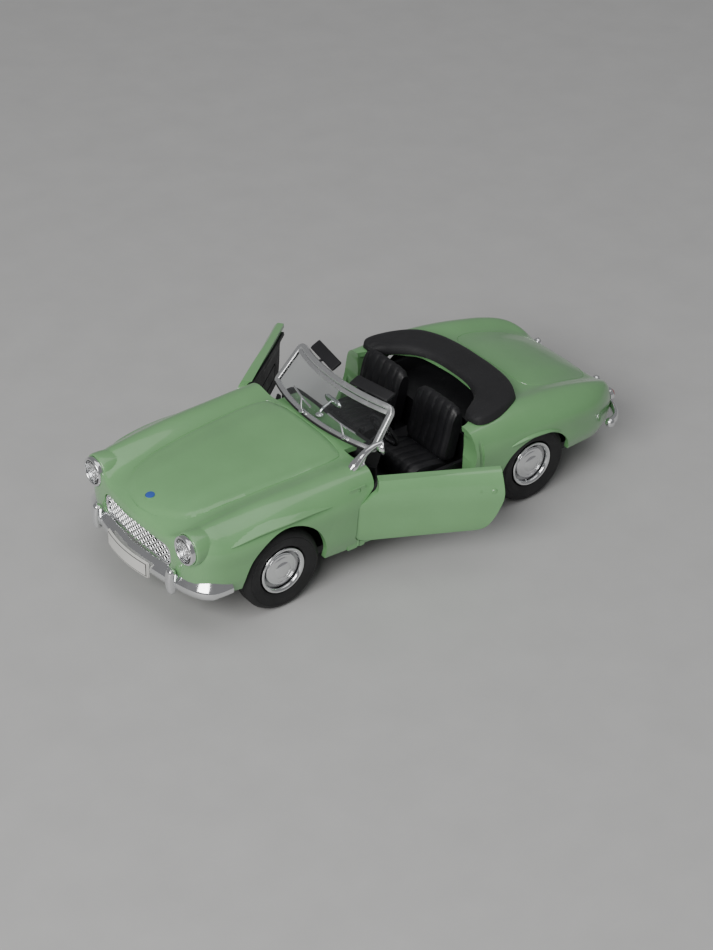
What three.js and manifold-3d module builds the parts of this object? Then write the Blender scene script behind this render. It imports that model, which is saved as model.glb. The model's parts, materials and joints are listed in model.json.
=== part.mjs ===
// Diecast collector car: an open two-seat roadster in about 1:36 scale.
// Millimetres, +X to the front, +Y to the left, +Z up, wheels on z = 0.
import * as THREE from 'three';
import { mergeVertices } from 'three/addons/utils/BufferGeometryUtils.js';
import Module from 'manifold-3d';

const wasm = await Module();
wasm.setup();

// ---------------------------------------------------------------- driving sizes
const FRONT_END = 58.4;          // body nose
const REAR_END = -58.6;          // body tail
const WIDTH_SCALE = 1.0;         // scales every half width of the body
const WALL = 1.2;                // cast body wall
const GAP = 0.3;                 // clearance between fixed pieces
const RUN = 0.07;                // radial running clearance

const AXLE_Z = 9.25;             // axle height = tyre radius + contact clearance
const TYRE_R = 9.25;
const TYRE_W = 5.0;
const WHEEL_FACE = 22.3;         // outer face of a wheel from the centre plane
const FRONT_AXLE_X = 36.65;
const REAR_AXLE_X = -30.0;
const AXLE_R = 0.8;
const RIM_R = 5.3;

const DOOR_HINGE = { x: 18.0, y: 22.3 };
const DOOR_PIN_R = 0.4;
const DOOR_ROLL_R = 1.1;         // rounded front edge of a door about its pin
const DOOR_LENGTH = 30.8;
const DOOR_BOTTOM = 9.2;
const LEFT_DOOR_OPEN = 27.5;     // degrees open as displayed
const RIGHT_DOOR_OPEN = 38.7;

const BASE_TOP = 9.1;
const BASE_THICK = 1.7;
const TUB_FLOOR = BASE_TOP + GAP;

const SCREEN_BASE = { x: 14.0, y: 17.5, z: 25.7, sweep: 3.6 };
const SCREEN_TOP = { x: 6.9, y: 16.2, z: 33.7, sweep: 2.9 };

// Body stations: x, centre height, crown (y, z), half width, sill height.
const STATIONS = [
  [58.4, 19.4, 11.5, 19.6, 14.6, 12.1],
  [57.7, 20.5, 14.6, 21.3, 17.7, 11.3],
  [56.2, 21.4, 16.4, 22.8, 20.1, 10.6],
  [53.5, 22.3, 17.0, 23.7, 21.8, 10.0],
  [49.5, 23.0, 17.2, 24.1, 22.8, 9.4],
  [44.0, 23.7, 17.5, 24.5, 23.4, 9.2],
  [36.6, 24.3, 17.9, 24.9, 23.7, 8.9],
  [27.0, 24.8, 18.3, 25.0, 23.5, 8.3],
  [17.0, 25.4, 18.8, 25.0, 23.3, 7.7],
  [8.0, 25.4, 19.3, 24.5, 23.1, 7.5],
  [-3.0, 24.6, 19.6, 23.7, 23.0, 7.5],
  [-13.0, 24.1, 19.4, 23.7, 23.1, 7.9],
  [-21.0, 24.0, 18.9, 24.2, 23.4, 8.6],
  [-29.0, 23.7, 18.5, 24.1, 23.6, 9.2],
  [-36.0, 23.0, 18.1, 23.4, 23.5, 9.6],
  [-43.0, 21.7, 17.7, 22.2, 22.9, 9.4],
  [-49.5, 19.9, 17.3, 20.7, 21.6, 8.8],
  [-54.5, 17.9, 16.5, 18.9, 19.2, 8.6],
  [-57.3, 16.2, 14.6, 17.0, 16.7, 9.2],
  [-58.6, 14.4, 11.8, 15.0, 13.6, 10.4],
];

// ---------------------------------------------------------------- solid helpers
const V2 = (x, y) => new THREE.Vector2(x, y);
const V3 = (x, y, z) => new THREE.Vector3(x, y, z);
const rad = THREE.MathUtils.degToRad;

function toSolid(geometry) {
  const bare = geometry.clone();
  bare.deleteAttribute('normal');
  bare.deleteAttribute('uv');
  const merged = mergeVertices(bare, 1e-4);
  const pos = merged.attributes.position.array;
  const src = merged.index.array;
  const tri = [];
  let volume = 0;
  for (let i = 0; i < src.length; i += 3) {
    const [a, b, c] = [src[i], src[i + 1], src[i + 2]];
    if (a === b || b === c || a === c) continue;
    tri.push(a, b, c);
    const p = V3().fromArray(pos, 3 * a);
    const q = V3().fromArray(pos, 3 * b);
    volume += p.cross(q).dot(V3().fromArray(pos, 3 * c));
  }
  if (volume < 0) {
    for (let i = 0; i < tri.length; i += 3) {
      [tri[i], tri[i + 1]] = [tri[i + 1], tri[i]];
    }
  }
  const mesh = new wasm.Mesh({
    numProp: 3,
    vertProperties: new Float32Array(pos),
    triVerts: new Uint32Array(tri),
  });
  mesh.merge();
  return new wasm.Manifold(mesh);
}

function toGeometry(solid) {
  const mesh = solid.getMesh();
  const geometry = new THREE.BufferGeometry();
  geometry.setAttribute('position', new THREE.BufferAttribute(mesh.vertProperties, 3));
  geometry.setIndex(new THREE.BufferAttribute(mesh.triVerts, 1));
  const merged = mergeVertices(geometry, 1e-4);
  merged.computeVertexNormals();
  return merged;
}

const join = (...solids) => solids.reduce((a, b) => a.add(b));
const cut = (solid, ...tools) => tools.reduce((a, b) => a.subtract(b), solid);

function box(x0, x1, y0, y1, z0, z1) {
  const geometry = new THREE.BoxGeometry(x1 - x0, y1 - y0, z1 - z0);
  return toSolid(geometry.translate((x0 + x1) / 2, (y0 + y1) / 2, (z0 + z1) / 2));
}

// A disc or rod from point a to point b.
function rod(a, b, r, sides = 20) {
  const span = b.clone().sub(a);
  const geometry = new THREE.CylinderGeometry(r, r, span.length(), sides);
  const turn = new THREE.Quaternion().setFromUnitVectors(V3(0, 1, 0), span.normalize());
  geometry.applyQuaternion(turn).translate((a.x + b.x) / 2, (a.y + b.y) / 2, (a.z + b.z) / 2);
  return toSolid(geometry);
}

// A turned piece: profile of [radius, along] about the axis direction, placed at origin.
function turned(profile, axis, origin, sides = 24) {
  const points = profile.map(([r, t]) => V2(r, t));
  const geometry = new THREE.LatheGeometry(points, sides);
  const turn = new THREE.Quaternion().setFromUnitVectors(V3(0, 1, 0), axis.clone().normalize());
  return toSolid(geometry.applyQuaternion(turn).translate(origin.x, origin.y, origin.z));
}

// Outline in plan [x, y], raised from z0 to z1.
function planPrism(outline, z0, z1, bevel = 0) {
  const shape = new THREE.Shape(outline.map(([x, y]) => V2(x, y)));
  const geometry = new THREE.ExtrudeGeometry(shape, {
    depth: z1 - z0 - 2 * bevel, bevelEnabled: bevel > 0, bevelThickness: bevel,
    bevelSize: bevel, bevelOffset: -bevel, bevelSegments: 2,
  });
  return toSolid(geometry.translate(0, 0, z0 + bevel));
}

// Outline in side view [x, z], spread from y0 to y1.
function sidePrism(outline, y0, y1, bevel = 0) {
  const shape = new THREE.Shape(outline.map(([x, z]) => V2(x, z)));
  const geometry = new THREE.ExtrudeGeometry(shape, {
    depth: y1 - y0 - 2 * bevel, bevelEnabled: bevel > 0, bevelThickness: bevel,
    bevelSize: bevel, bevelOffset: -bevel, bevelSegments: 2,
  });
  return toSolid(geometry.rotateX(Math.PI / 2).translate(0, y1 - bevel, 0));
}

// A bar of oval section swept along a path; the section is w across and h upright.
function sweep(path, w, h, steps, sides = 10, power = 1) {
  const shape = new THREE.Shape();
  for (let i = 0; i < sides; i += 1) {
    const a = (2 * Math.PI * i) / sides;
    const c = Math.sign(Math.cos(a)) * Math.abs(Math.cos(a)) ** power;
    const s = Math.sign(Math.sin(a)) * Math.abs(Math.sin(a)) ** power;
    if (i === 0) shape.moveTo((w / 2) * c, (h / 2) * s);
    else shape.lineTo((w / 2) * c, (h / 2) * s);
  }
  const curve = new THREE.CatmullRomCurve3(path.map(p => V3(...p)), false, 'centripetal');
  return toSolid(new THREE.ExtrudeGeometry(shape, { steps, extrudePath: curve }));
}

// A closed curved sheet: corner(side, row, column) gives its points on side 0 and side 1.
function sheet(rows, columns, corner) {
  const pos = [];
  for (const side of [0, 1]) {
    for (let r = 0; r <= rows; r += 1) {
      for (let k = 0; k <= columns; k += 1) pos.push(...corner(side, r, k).toArray());
    }
  }
  const n = columns + 1;
  const far = n * (rows + 1);
  const index = [];
  const quad = (a, b, c, d) => index.push(a, b, c, a, c, d);
  for (let r = 0; r < rows; r += 1) {
    const [a, b] = [r * n, r * n + columns];
    for (let k = a; k < b; k += 1) {
      quad(k, k + 1, k + n + 1, k + n);
      quad(far + k, far + k + n, far + k + n + 1, far + k + 1);
    }
    quad(a, a + n, far + a + n, far + a);
    quad(b + n, b, far + b, far + b + n);
  }
  for (let k = 0; k < columns; k += 1) {
    const top = rows * n + k;
    quad(k, far + k, far + k + 1, k + 1);
    quad(top + 1, far + top + 1, far + top, top);
  }
  const geometry = new THREE.BufferGeometry();
  geometry.setAttribute('position', new THREE.Float32BufferAttribute(pos, 3));
  geometry.setIndex(index);
  return toSolid(geometry);
}

function mirrored(solid) {
  return solid.mirror([0, 1, 0]);
}

// A smooth curve value through [x, value...] rows, sorted by falling x.
function through(rows, column, x) {
  let i = 0;
  while (i < rows.length - 2 && rows[i + 1][0] > x) i += 1;
  const slope = k => {
    const a = rows[Math.max(k - 1, 0)];
    const b = rows[Math.min(k + 1, rows.length - 1)];
    return (b[column] - a[column]) / (b[0] - a[0]);
  };
  const [p, q] = [rows[i], rows[i + 1]];
  const h = q[0] - p[0];
  const t = (x - p[0]) / h;
  const [t2, t3] = [t * t, t * t * t];
  return (2 * t3 - 3 * t2 + 1) * p[column] + (t3 - 2 * t2 + t) * h * slope(i)
    + (3 * t2 - 2 * t3) * q[column] + (t3 - t2) * h * slope(i + 1);
}

// ---------------------------------------------------------------- body surface
// Half section of the body at x, from the top centre round to the sill edge.
function halfSection(x, offset = 0, fine = 16) {
  const [centre, crownY, crownZ, half, sill] = [1, 2, 3, 4, 5].map(c => through(STATIONS, c, x));
  const y = value => value * WIDTH_SCALE;
  const dip = 0.55 * THREE.MathUtils.smoothstep(half, 16, 22);
  const valleyZ = Math.min(centre, crownZ) - dip;
  const wide = half - crownY;
  const knots = [
    [0, centre],
    [0.36 * crownY, centre - 0.12],
    [0.74 * crownY, valleyZ],
    [crownY, crownZ],
    [crownY + 0.55 * wide, crownZ - 0.24 * wide],
    [half - 0.05, crownZ - 0.3 * (crownZ - sill)],
    [half, sill + 0.42 * (crownZ - sill)],
    [half - 0.25, sill + 0.18 * (crownZ - sill)],
    [half - 1.1, sill],
  ];
  const curve = new THREE.CatmullRomCurve3(knots.map(([a, b]) => V3(y(a), b, 0)), false, 'centripetal');
  const points = [];
  for (let i = 0; i <= fine; i += 1) points.push(curve.getPoint(i / fine));
  if (offset === 0) return points.map(p => [p.x, p.y]);
  return points.map((p, i) => {
    const a = points[Math.max(i - 1, 0)];
    const b = points[Math.min(i + 1, points.length - 1)];
    const t = V2(b.x - a.x, b.y - a.y).normalize();
    if (i === 0) t.set(1, 0);
    return [Math.max(p.x - offset * -t.y, 0), p.y - offset * t.x];
  });
}

function stationsBetween(front, rear, steps) {
  const list = [front];
  for (const [x] of STATIONS) if (x < front - 0.4 && x > rear + 0.4) list.push(x);
  list.push(rear);
  const dense = [];
  for (let i = 0; i < list.length - 1; i += 1) {
    const n = Math.max(1, Math.round((list[i] - list[i + 1]) / steps));
    for (let k = 0; k < n; k += 1) dense.push(list[i] + ((list[i + 1] - list[i]) * k) / n);
  }
  dense.push(rear);
  return dense;
}

const CAP_Z = 13;                // height of the middle of the end caps

// Closed solid of the body shape, moved inward by offset and closed at floor(x).
function bodySolid(offset, front, rear, steps, floor, fine = 16) {
  const rings = stationsBetween(front, rear, steps).map(x => {
    const half = halfSection(x, offset, fine).map(([y, z]) => [x, y, z]);
    if (floor !== undefined) half.push([x, half[half.length - 1][1], floor]);
    const other = half.slice(1).reverse().map(([a, b, c]) => [a, -b, c]);
    return [...half, ...other];
  });
  const n = rings[0].length;
  const pos = rings.flat(2);
  const index = [];
  for (let i = 0; i < rings.length - 1; i += 1) {
    for (let k = 0; k < n; k += 1) {
      const [a, b] = [i * n + k, i * n + ((k + 1) % n)];
      index.push(a, b, a + n, b, b + n, a + n);
    }
  }
  const last = (rings.length - 1) * n;
  const middle = pos.length / 3;
  pos.push(front, 0, CAP_Z, rear, 0, CAP_Z);
  for (let k = 0; k < n; k += 1) {
    const b = (k + 1) % n;
    index.push(middle, b, k, middle + 1, last + k, last + b);
  }
  const geometry = new THREE.BufferGeometry();
  geometry.setAttribute('position', new THREE.Float32BufferAttribute(pos, 3));
  geometry.setIndex(index);
  return toSolid(geometry);
}

const outer = bodySolid(0, FRONT_END, REAR_END, 6);
const inner = bodySolid(WALL, FRONT_END - 4.9, REAR_END + 4.2, 9, 2, 8);
const clear = bodySolid(-GAP, FRONT_END, REAR_END, 6);
const topAt = x => through(STATIONS, 1, x);

// Half width of the body's side at (x, z), moved inward by deep.
function sideAt(x, z, deep) {
  const half = halfSection(x, deep, 24);
  let i = half.length - 1;
  while (i > 1 && half[i - 1][1] < z) i -= 1;
  const [[y1, z1], [y0, z0]] = [half[i - 1], half[i]];
  return y0 + ((y1 - y0) * (z - z0)) / (z1 - z0);
}

// ---------------------------------------------------------------- door outline
// Side view of a door, s back from the hinge pin; grow widens the outline.
function doorOutline(grow) {
  const L = DOOR_LENGTH;
  const corners = [
    [DOOR_ROLL_R, DOOR_BOTTOM], [-(L - 4.0), DOOR_BOTTOM + 0.2], [-(L - 1.7), 12.9],
    [-L, 17.5], [-(L - 0.4), 21.5], [-(L - 1.4), 28.0], [-3.4, 28.0], [-1.6, 21.6],
    [DOOR_ROLL_R, 20.9],
  ];
  const mid = [-L / 2, 17];
  return corners.map(([s, z]) => {
    const up = z > 27 ? 0 : Math.sign(z - mid[1]) * grow * (Math.abs(z - mid[1]) > 3 ? 1 : 0);
    const along = s > 0 ? grow : Math.sign(s - mid[0]) * grow;
    return [DOOR_HINGE.x + s + along, z + up];
  });
}
const TOP_RAIL_IN = 17.9;        // inner side of the door's top
const doorBlock = grow => sidePrism(doorOutline(grow), TOP_RAIL_IN - 6, 30);
const rollBlock = r => rod(V3(DOOR_HINGE.x, DOOR_HINGE.y, 0), V3(DOOR_HINGE.x, DOOR_HINGE.y, 40), r, 18);

// Everything ahead of the pin that is outside the rolled edge.
function ahead(r) {
  return cut(box(DOOR_HINGE.x, DOOR_HINGE.x + 8, TOP_RAIL_IN - 6, 30, 0, 40), rollBlock(r));
}

// ---------------------------------------------------------------- materials
const material = (color, roughness, metalness, extra = {}) =>
  new THREE.MeshStandardMaterial({ color, roughness, metalness, ...extra });
const paint = () => material(0x83b58c, 0.25, 0.1);
const chrome = () => material(0xd8dadd, 0.12, 1.0);
const black = () => material(0x1a1b1c, 0.5, 0.0);
const rubber = () => material(0x202021, 0.85, 0.0);
const steel = () => material(0x9a9c9f, 0.35, 1.0);
const clearPlastic = () => material(0xdfe8ea, 0.05, 0.0, { transparent: true, opacity: 0.35 });

const car = new THREE.Group();
car.name = 'diecast_collector_car';

function add(name, solid, mat) {
  const mesh = new THREE.Mesh(toGeometry(solid), mat);
  mesh.name = name;
  car.add(mesh);
  return mesh;
}

function addPair(name, solid, mat) {
  add(`left_${name}`, solid, mat());
  add(`right_${name}`, mirrored(solid), mat());
}

// ---------------------------------------------------------------- body shell
const COCKPIT = { front: 9.6, rear: -25.0, half: 18.3, rearHalf: 14.6 };
const cockpitOutline = [
  [COCKPIT.front, 0], [COCKPIT.front - 0.6, 9], [COCKPIT.front - 3.2, 17.4],
  [COCKPIT.front - 4.6, COCKPIT.half], [-13.6, COCKPIT.half], [-16.5, 16.4],
  [COCKPIT.rear + 4.4, COCKPIT.rearHalf], [COCKPIT.rear + 0.8, 11.0], [COCKPIT.rear, 0],
];
const wholeOutline = half => [
  ...half, ...half.slice(1, -1).reverse().map(([x, y]) => [x, -y]),
];

function wheelWell(x, r, reach) {
  return rod(V3(x, WHEEL_FACE - TYRE_W - 1.4, AXLE_Z), V3(x, reach, AXLE_Z), r, 28);
}

// Arch opening in side view: an ellipse about the axle with a flat foot.
function archCut(x, halfLength, height) {
  const outline = [];
  for (let i = 0; i <= 18; i += 1) {
    const a = (Math.PI * i) / 18;
    outline.push([x + halfLength * Math.cos(a), AXLE_Z + height * Math.sin(a)]);
  }
  outline.push([x - halfLength - 0.3, 0], [x + halfLength + 0.3, 0]);
  return sidePrism(outline, WHEEL_FACE - 4, 30);
}

// Raised blade over a wheel arch.
function eyebrow(points, thick, y1) {
  const swell = i => thick * Math.sin((Math.PI * (i + 0.4)) / (points.length - 0.2));
  const upper = points.map(([x, z], i) => [x, z + swell(i)]);
  return sidePrism([...points, ...upper.reverse()], 20.5, y1);
}
const frontBlade = [[49.6, 20.5], [46.3, 21.0], [42.0, 21.4], [36.0, 21.5], [30.0, 21.4], [25.2, 21.0]];
const rearBlade = [[-22.2, 17.5], [-25.0, 18.0], [-29.0, 18.1], [-33.5, 17.5], [-36.6, 16.3]];

// Engraved panel line: a narrow ring of the outline, only as deep as given.
function engraving(outline, width, depth) {
  const shrink = d => {
    const n = outline.length;
    return outline.map(([x, y], i) => {
      const a = outline[(i + n - 1) % n];
      const b = outline[(i + 1) % n];
      const t = V2(b[0] - a[0], b[1] - a[1]).normalize();
      return [x - d * t.y, y + d * t.x];
    });
  };
  const ring = cut(planPrism(outline, 14, 30), planPrism(shrink(width), 13, 31));
  return ring.subtract(bodySolid(depth, FRONT_END, REAR_END, 9));
}
const bonnetHalf = [
  [56.9, 0], [56.4, 4.0], [54.9, 7.8], [52.4, 10.3], [47.0, 11.6], [41.6, 12.5],
  [29.0, 13.6], [16.6, 13.6], [15.4, 12.4], [14.9, 6.0], [14.9, 0],
];
const bootHalf = [
  [-34.6, 0], [-34.8, 7.0], [-35.8, 11.6], [-38.5, 13.2], [-47.0, 13.0], [-53.5, 11.4],
  [-56.0, 8.0], [-56.9, 0],
];

const GRILLE = { half: 12.4, z0: 12.7, z1: 18.7, back: 56.0 };
function rounded(halfW, z0, z1, r, n = 4) {
  const shape = [];
  const corner = (cy, cz, a0) => {
    for (let i = 0; i <= n; i += 1) {
      const a = a0 + (Math.PI / 2) * (i / n);
      shape.push([cy + r * Math.cos(a), cz + r * Math.sin(a)]);
    }
  };
  corner(halfW - r, z1 - r, 0);
  corner(-halfW + r, z1 - r, Math.PI / 2);
  corner(-halfW + r, z0 + r, Math.PI);
  corner(halfW - r, z0 + r, (3 * Math.PI) / 2);
  return shape;
}
// Outline in front view [y, z], from x0 to x1.
function frontPrism(outline, x0, x1) {
  const shape = new THREE.Shape(outline.map(([y, z]) => V2(y, z)));
  const geometry = new THREE.ExtrudeGeometry(shape, { depth: x1 - x0, bevelEnabled: false });
  const basis = new THREE.Matrix4().makeBasis(V3(0, 1, 0), V3(0, 0, 1), V3(1, 0, 0));
  return toSolid(geometry.applyMatrix4(basis).translate(x0, 0, 0));
}

const LAMP = { x: 56.9, y: 17.05, z: 20.1, r: 3.0, pocket: 3.25, floor: 54.6 };
const lampAxis = V3(1, 0, 0);
const lampPod = turned(
  [[0, -7], [3.3, -7], [3.95, -3.0], [3.85, -0.6], [3.3, 0], [0, 0]],
  lampAxis, V3(LAMP.x - 0.5, LAMP.y, LAMP.z), 22);
const lampPocket = rod(V3(LAMP.floor, LAMP.y, LAMP.z), V3(66, LAMP.y, LAMP.z), LAMP.pocket, 22);

const POSTS = [49.3, -49.5];
const SCREW_R = 0.9;
const post = x => rod(V3(x, 0, BASE_TOP + GAP), V3(x, 0, topAt(x) - 0.5 * WALL), 2.0, 14);
const postBore = x => rod(V3(x, 0, 0), V3(x, 0, BASE_TOP + 5.5), SCREW_R + RUN, 12);

// Sockets for the door pins: solid blocks inside the skin above and below the door.
const pinSocket = join(
  box(DOOR_HINGE.x - 1.6, DOOR_HINGE.x + 2.6, 20.4, 23.3, 7.7, DOOR_BOTTOM - GAP),
  box(DOOR_HINGE.x - 1.6, DOOR_HINGE.x + 2.6, 20.4, 23.3, 20.9 + GAP, 23.4),
).intersect(outer);
// Jamb the closed door's rear edge comes up to.
const jamb = box(-17.4, -12.6, COCKPIT.half + 0.3, 24, BASE_TOP + GAP, 23.6).intersect(outer);
const pinBore = rod(V3(DOOR_HINGE.x, DOOR_HINGE.y, 7.0), V3(DOOR_HINGE.x, DOOR_HINGE.y, 22.3),
  DOOR_PIN_R + 0.04, 16);

const blades = [eyebrow(frontBlade, 1.15, 24.15), eyebrow(rearBlade, 1.0, 24.1)];
let shell = join(outer, ...[lampPod, ...blades].flatMap(s => [s, mirrored(s)])).subtract(inner);
shell = join(shell, pinSocket, mirrored(pinSocket), jamb, mirrored(jamb), ...POSTS.map(post));
shell = cut(shell, planPrism(wholeOutline(cockpitOutline), 18.0, 40));
const doorCut = doorBlock(GAP).subtract(ahead(DOOR_ROLL_R + GAP));
for (const tool of [
  doorCut, archCut(FRONT_AXLE_X, 10.2, 11.4), wheelWell(FRONT_AXLE_X, TYRE_R + 0.9, 24.6),
  archCut(REAR_AXLE_X, 9.9, 8.4), wheelWell(REAR_AXLE_X, TYRE_R + 0.9, WHEEL_FACE + 0.45), lampPocket,
]) {
  shell = cut(shell, tool, mirrored(tool));
}
shell = cut(shell, pinBore, mirrored(pinBore), ...POSTS.map(postBore));
shell = cut(shell, frontPrism(rounded(GRILLE.half, GRILLE.z0, GRILLE.z1, 2.4), GRILLE.back, 64));
const LINE_W = 0.35;             // engraved panel lines
const LINE_DEEP = 0.3;
for (const half of [bonnetHalf, bootHalf]) {
  shell = cut(shell, engraving(wholeOutline(half), LINE_W, LINE_DEEP));
}
add('body_shell', shell, paint());

// ---------------------------------------------------------------- base plate, axles, wheels
const WHEEL_ROOM = 1.2;          // base plate clear of the tyres
const wheelHole = x => box(x - TYRE_R - WHEEL_ROOM, x + TYRE_R + WHEEL_ROOM, 15.6, 25, 0, 30);
const plateOutline = [
  [52.0, 0], [51.4, 14.0], [47.4, 18.6], [24.0, 19.3], [-18.0, 19.3], [-42.0, 19.2],
  [-49.5, 17.0], [-52.6, 12.0], [-53.0, 0],
];
const bearing = x => join(
  box(x - 2.0, x + 2.0, 12.2, 15.0, BASE_TOP - 1, AXLE_Z + 2.0),
  box(x - 2.0, x + 2.0, -15.0, -12.2, BASE_TOP - 1, AXLE_Z + 2.0));
const axleBore = x => rod(V3(x, -30, AXLE_Z), V3(x, 30, AXLE_Z), AXLE_R + RUN, 16);
const axleTrough = x => box(x - 1.6, x + 1.6, -12.2, 12.2, AXLE_Z - AXLE_R - GAP, BASE_TOP + 5);
const screwHole = x => join(
  rod(V3(x, 0, 0), V3(x, 0, 20), SCREW_R + RUN, 12),
  rod(V3(x, 0, 0), V3(x, 0, BASE_TOP - BASE_THICK + 1.0), 1.9, 14));
let plate = planPrism(wholeOutline(plateOutline), BASE_TOP - BASE_THICK, BASE_TOP);
plate = join(plate, bearing(FRONT_AXLE_X), bearing(REAR_AXLE_X));
for (const x of [FRONT_AXLE_X, REAR_AXLE_X]) {
  plate = cut(plate, wheelHole(x), mirrored(wheelHole(x)), axleBore(x), axleTrough(x));
}
plate = cut(plate, ...POSTS.map(screwHole));
add('base_plate', plate, black());

POSTS.forEach((x, i) => {
  const z = BASE_TOP - BASE_THICK + 0.1;
  const screw = turned([[0, 0], [1.6, 0], [1.6, 0.75], [SCREW_R, 0.75], [SCREW_R, 6.4], [0, 6.4]],
    V3(0, 0, 1), V3(x, 0, z), 14);
  const slot = box(x - 0.9, x + 0.9, -0.2, 0.2, z - 1, z + 0.35);
  const cross = box(x - 0.2, x + 0.2, -0.9, 0.9, z - 1, z + 0.35);
  add(i === 0 ? 'front_base_screw' : 'rear_base_screw', cut(screw, slot, cross), steel());
});

for (const [end, x] of [['front', FRONT_AXLE_X], ['rear', REAR_AXLE_X]]) {
  const reach = WHEEL_FACE - 1.7;
  add(`${end}_axle`, rod(V3(x, -reach, AXLE_Z), V3(x, reach, AXLE_Z), AXLE_R, 16), steel());
  for (const [side, s] of [['left', 1], ['right', -1]]) {
    const at = V3(x, s * (WHEEL_FACE - TYRE_W), AXLE_Z);
    const out = V3(0, s, 0);
    const R = TYRE_R;
    const seat = RIM_R + 0.25;
    add(`${side}_${end}_tyre`, turned([
      [seat, 0.5], [R - 1.6, 0], [R - 0.35, 0.5], [R, 1.4], [R, TYRE_W - 1.4], [R - 0.35, TYRE_W - 0.5],
      [R - 1.6, TYRE_W], [seat, TYRE_W - 0.4], [seat, 0.5],
    ], out, at, 28), rubber());
    add(`${side}_${end}_rim`, turned([
      [AXLE_R + 0.04, 0.2], [1.9, 0.2], [2.0, 1.6], [RIM_R - 1.0, 1.9], [RIM_R, 0.6], [RIM_R, TYRE_W - 0.35],
      [RIM_R - 0.35, TYRE_W - 0.2], [RIM_R - 0.8, TYRE_W - 0.5], [RIM_R - 0.9, TYRE_W - 1.5],
      [AXLE_R + 0.04, TYRE_W - 1.8], [AXLE_R + 0.04, 0.2],
    ], out, at, 22), chrome());
    add(`${side}_${end}_hub_cap`, turned([
      [0, TYRE_W - 1.5], [3.4, TYRE_W - 1.5], [3.7, TYRE_W - 1.1], [3.3, TYRE_W - 0.75],
      [2.0, TYRE_W - 0.5], [1.6, TYRE_W - 0.1], [0, TYRE_W],
    ], out, at, 20), chrome());
  }
}

// ---------------------------------------------------------------- interior
const TUB = { front: 12.0, rear: -31.0, half: 17.6, rearHalf: 13.8, wall: 0.9, rim: 21.6, shelf: 18.2 };
const tubHalf = g => [
  [TUB.front - g, 0], [TUB.front - g, 15.6 - g], [TUB.front - 2 - g / 2, TUB.half - g], [-16.2, TUB.half - g],
  [-17.6 + g / 2, TUB.rearHalf - g], [TUB.rear + g, TUB.rearHalf - g], [TUB.rear + g, 0],
];
let tub = planPrism(wholeOutline(tubHalf(0)), TUB_FLOOR, TUB.rim);
tub = cut(tub, planPrism(wholeOutline(tubHalf(TUB.wall)), TUB_FLOOR + TUB.wall, 40));
const TUNNEL_H = 3.6;
const shelf = box(TUB.rear + 0.2, -16.4, -TUB.rearHalf + 0.2, TUB.rearHalf - 0.2, TUB.shelf - 1.0, TUB.shelf);
const bulkhead = box(-17.2, -16.2, -TUB.half + 0.2, TUB.half - 0.2, TUB_FLOOR + 0.2, TUB.shelf);
const tunnel = box(-16.4, TUB.front - 0.3, -1.7, 1.7, TUB_FLOOR + 0.2, TUB_FLOOR + TUNNEL_H);
const sideLow = box(-16.0, TUB.front - 2.4, 14, 25, TUB_FLOOR + 4.6, 30);
tub = cut(tub, sideLow, mirrored(sideLow));
tub = join(tub, shelf, bulkhead, tunnel);
tub = cut(tub, box(REAR_AXLE_X - 1.5, REAR_AXLE_X + 4, -20, 20, 0, AXLE_Z + 2.4));
add('interior_tub', tub, black());

const seatProfile = [
  [-1.0, 10.9], [-1.0, 14.6], [-2.4, 15.5], [-9.2, 14.9], [-11.9, 24.4], [-13.2, 25.6], [-14.8, 25.1],
  [-15.2, 23.2], [-12.9, 12.0], [-12.3, 10.9],
];
const SEAT = { y0: 3.1, y1: 14.6 };
const seat = join(
  sidePrism(seatProfile, SEAT.y0, SEAT.y1, 0.8),
  box(-11.6, -1.8, SEAT.y0 + 1.1, SEAT.y1 - 1.0, TUB_FLOOR + TUB.wall + GAP, 11.6));
addPair('seat', seat, black);

const dashProfile = [
  [10.8, 15.5], [10.8, 23.9], [7.6, 24.2], [6.5, 23.7], [6.3, 22.6], [7.4, 19.6], [8.6, 16.2],
];
let dash = sidePrism(dashProfile, -15.0, 15.0, 0.3);
for (const y of [5.4, 8.3, 11.2]) {
  dash = join(dash, rod(V3(6.2, y, 22.0), V3(9, y, 22.0), 1.15, 16));
}
dash = dash.subtract(clear.subtract(bodySolid(WALL + GAP, FRONT_END - 8, REAR_END + 8, 4.5, 2)));
add('dashboard', dash, black());

const WHEEL_C = V3(0.6, 8.4, 22.4);
const columnDir = V3(-0.9, 0, 0.42).normalize();
const ring = toSolid(new THREE.TorusGeometry(3.9, 0.42, 6, 20)
  .applyQuaternion(new THREE.Quaternion().setFromUnitVectors(V3(0, 0, 1), columnDir))
  .translate(WHEEL_C.x, WHEEL_C.y, WHEEL_C.z));
const spokeAlong = (dy, up) => {
  const side = V3(0, 1, 0);
  const rise = columnDir.clone().cross(side);
  return side.multiplyScalar(dy * 3.9).add(rise.multiplyScalar(up * 3.9)).add(WHEEL_C);
};
const wheelHub = rod(WHEEL_C.clone().addScaledVector(columnDir, 0.35),
  WHEEL_C.clone().addScaledVector(columnDir, -0.7), 0.95, 16);
const column = rod(WHEEL_C, V3(5.95, 8.4, WHEEL_C.z - (5.35 * 0.42) / 0.9), 0.5, 14);
const spoke = rod(spokeAlong(-1, 0), spokeAlong(1, 0), 0.33, 8);
add('steering_wheel', join(ring, wheelHub, column, spoke), black());

const leverFoot = V3(1.6, 0, TUB_FLOOR + TUNNEL_H + GAP);
add('gear_lever', join(
  rod(leverFoot, V3(1.6, 0, leverFoot.z + 0.6), 1.0, 14),
  rod(V3(1.6, 0, leverFoot.z + 0.3), V3(0.2, 0, leverFoot.z + 4.4), 0.35, 10),
  toSolid(new THREE.SphereGeometry(0.75, 12, 8).translate(0.1, 0, leverFoot.z + 4.7)),
), chrome());

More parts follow.
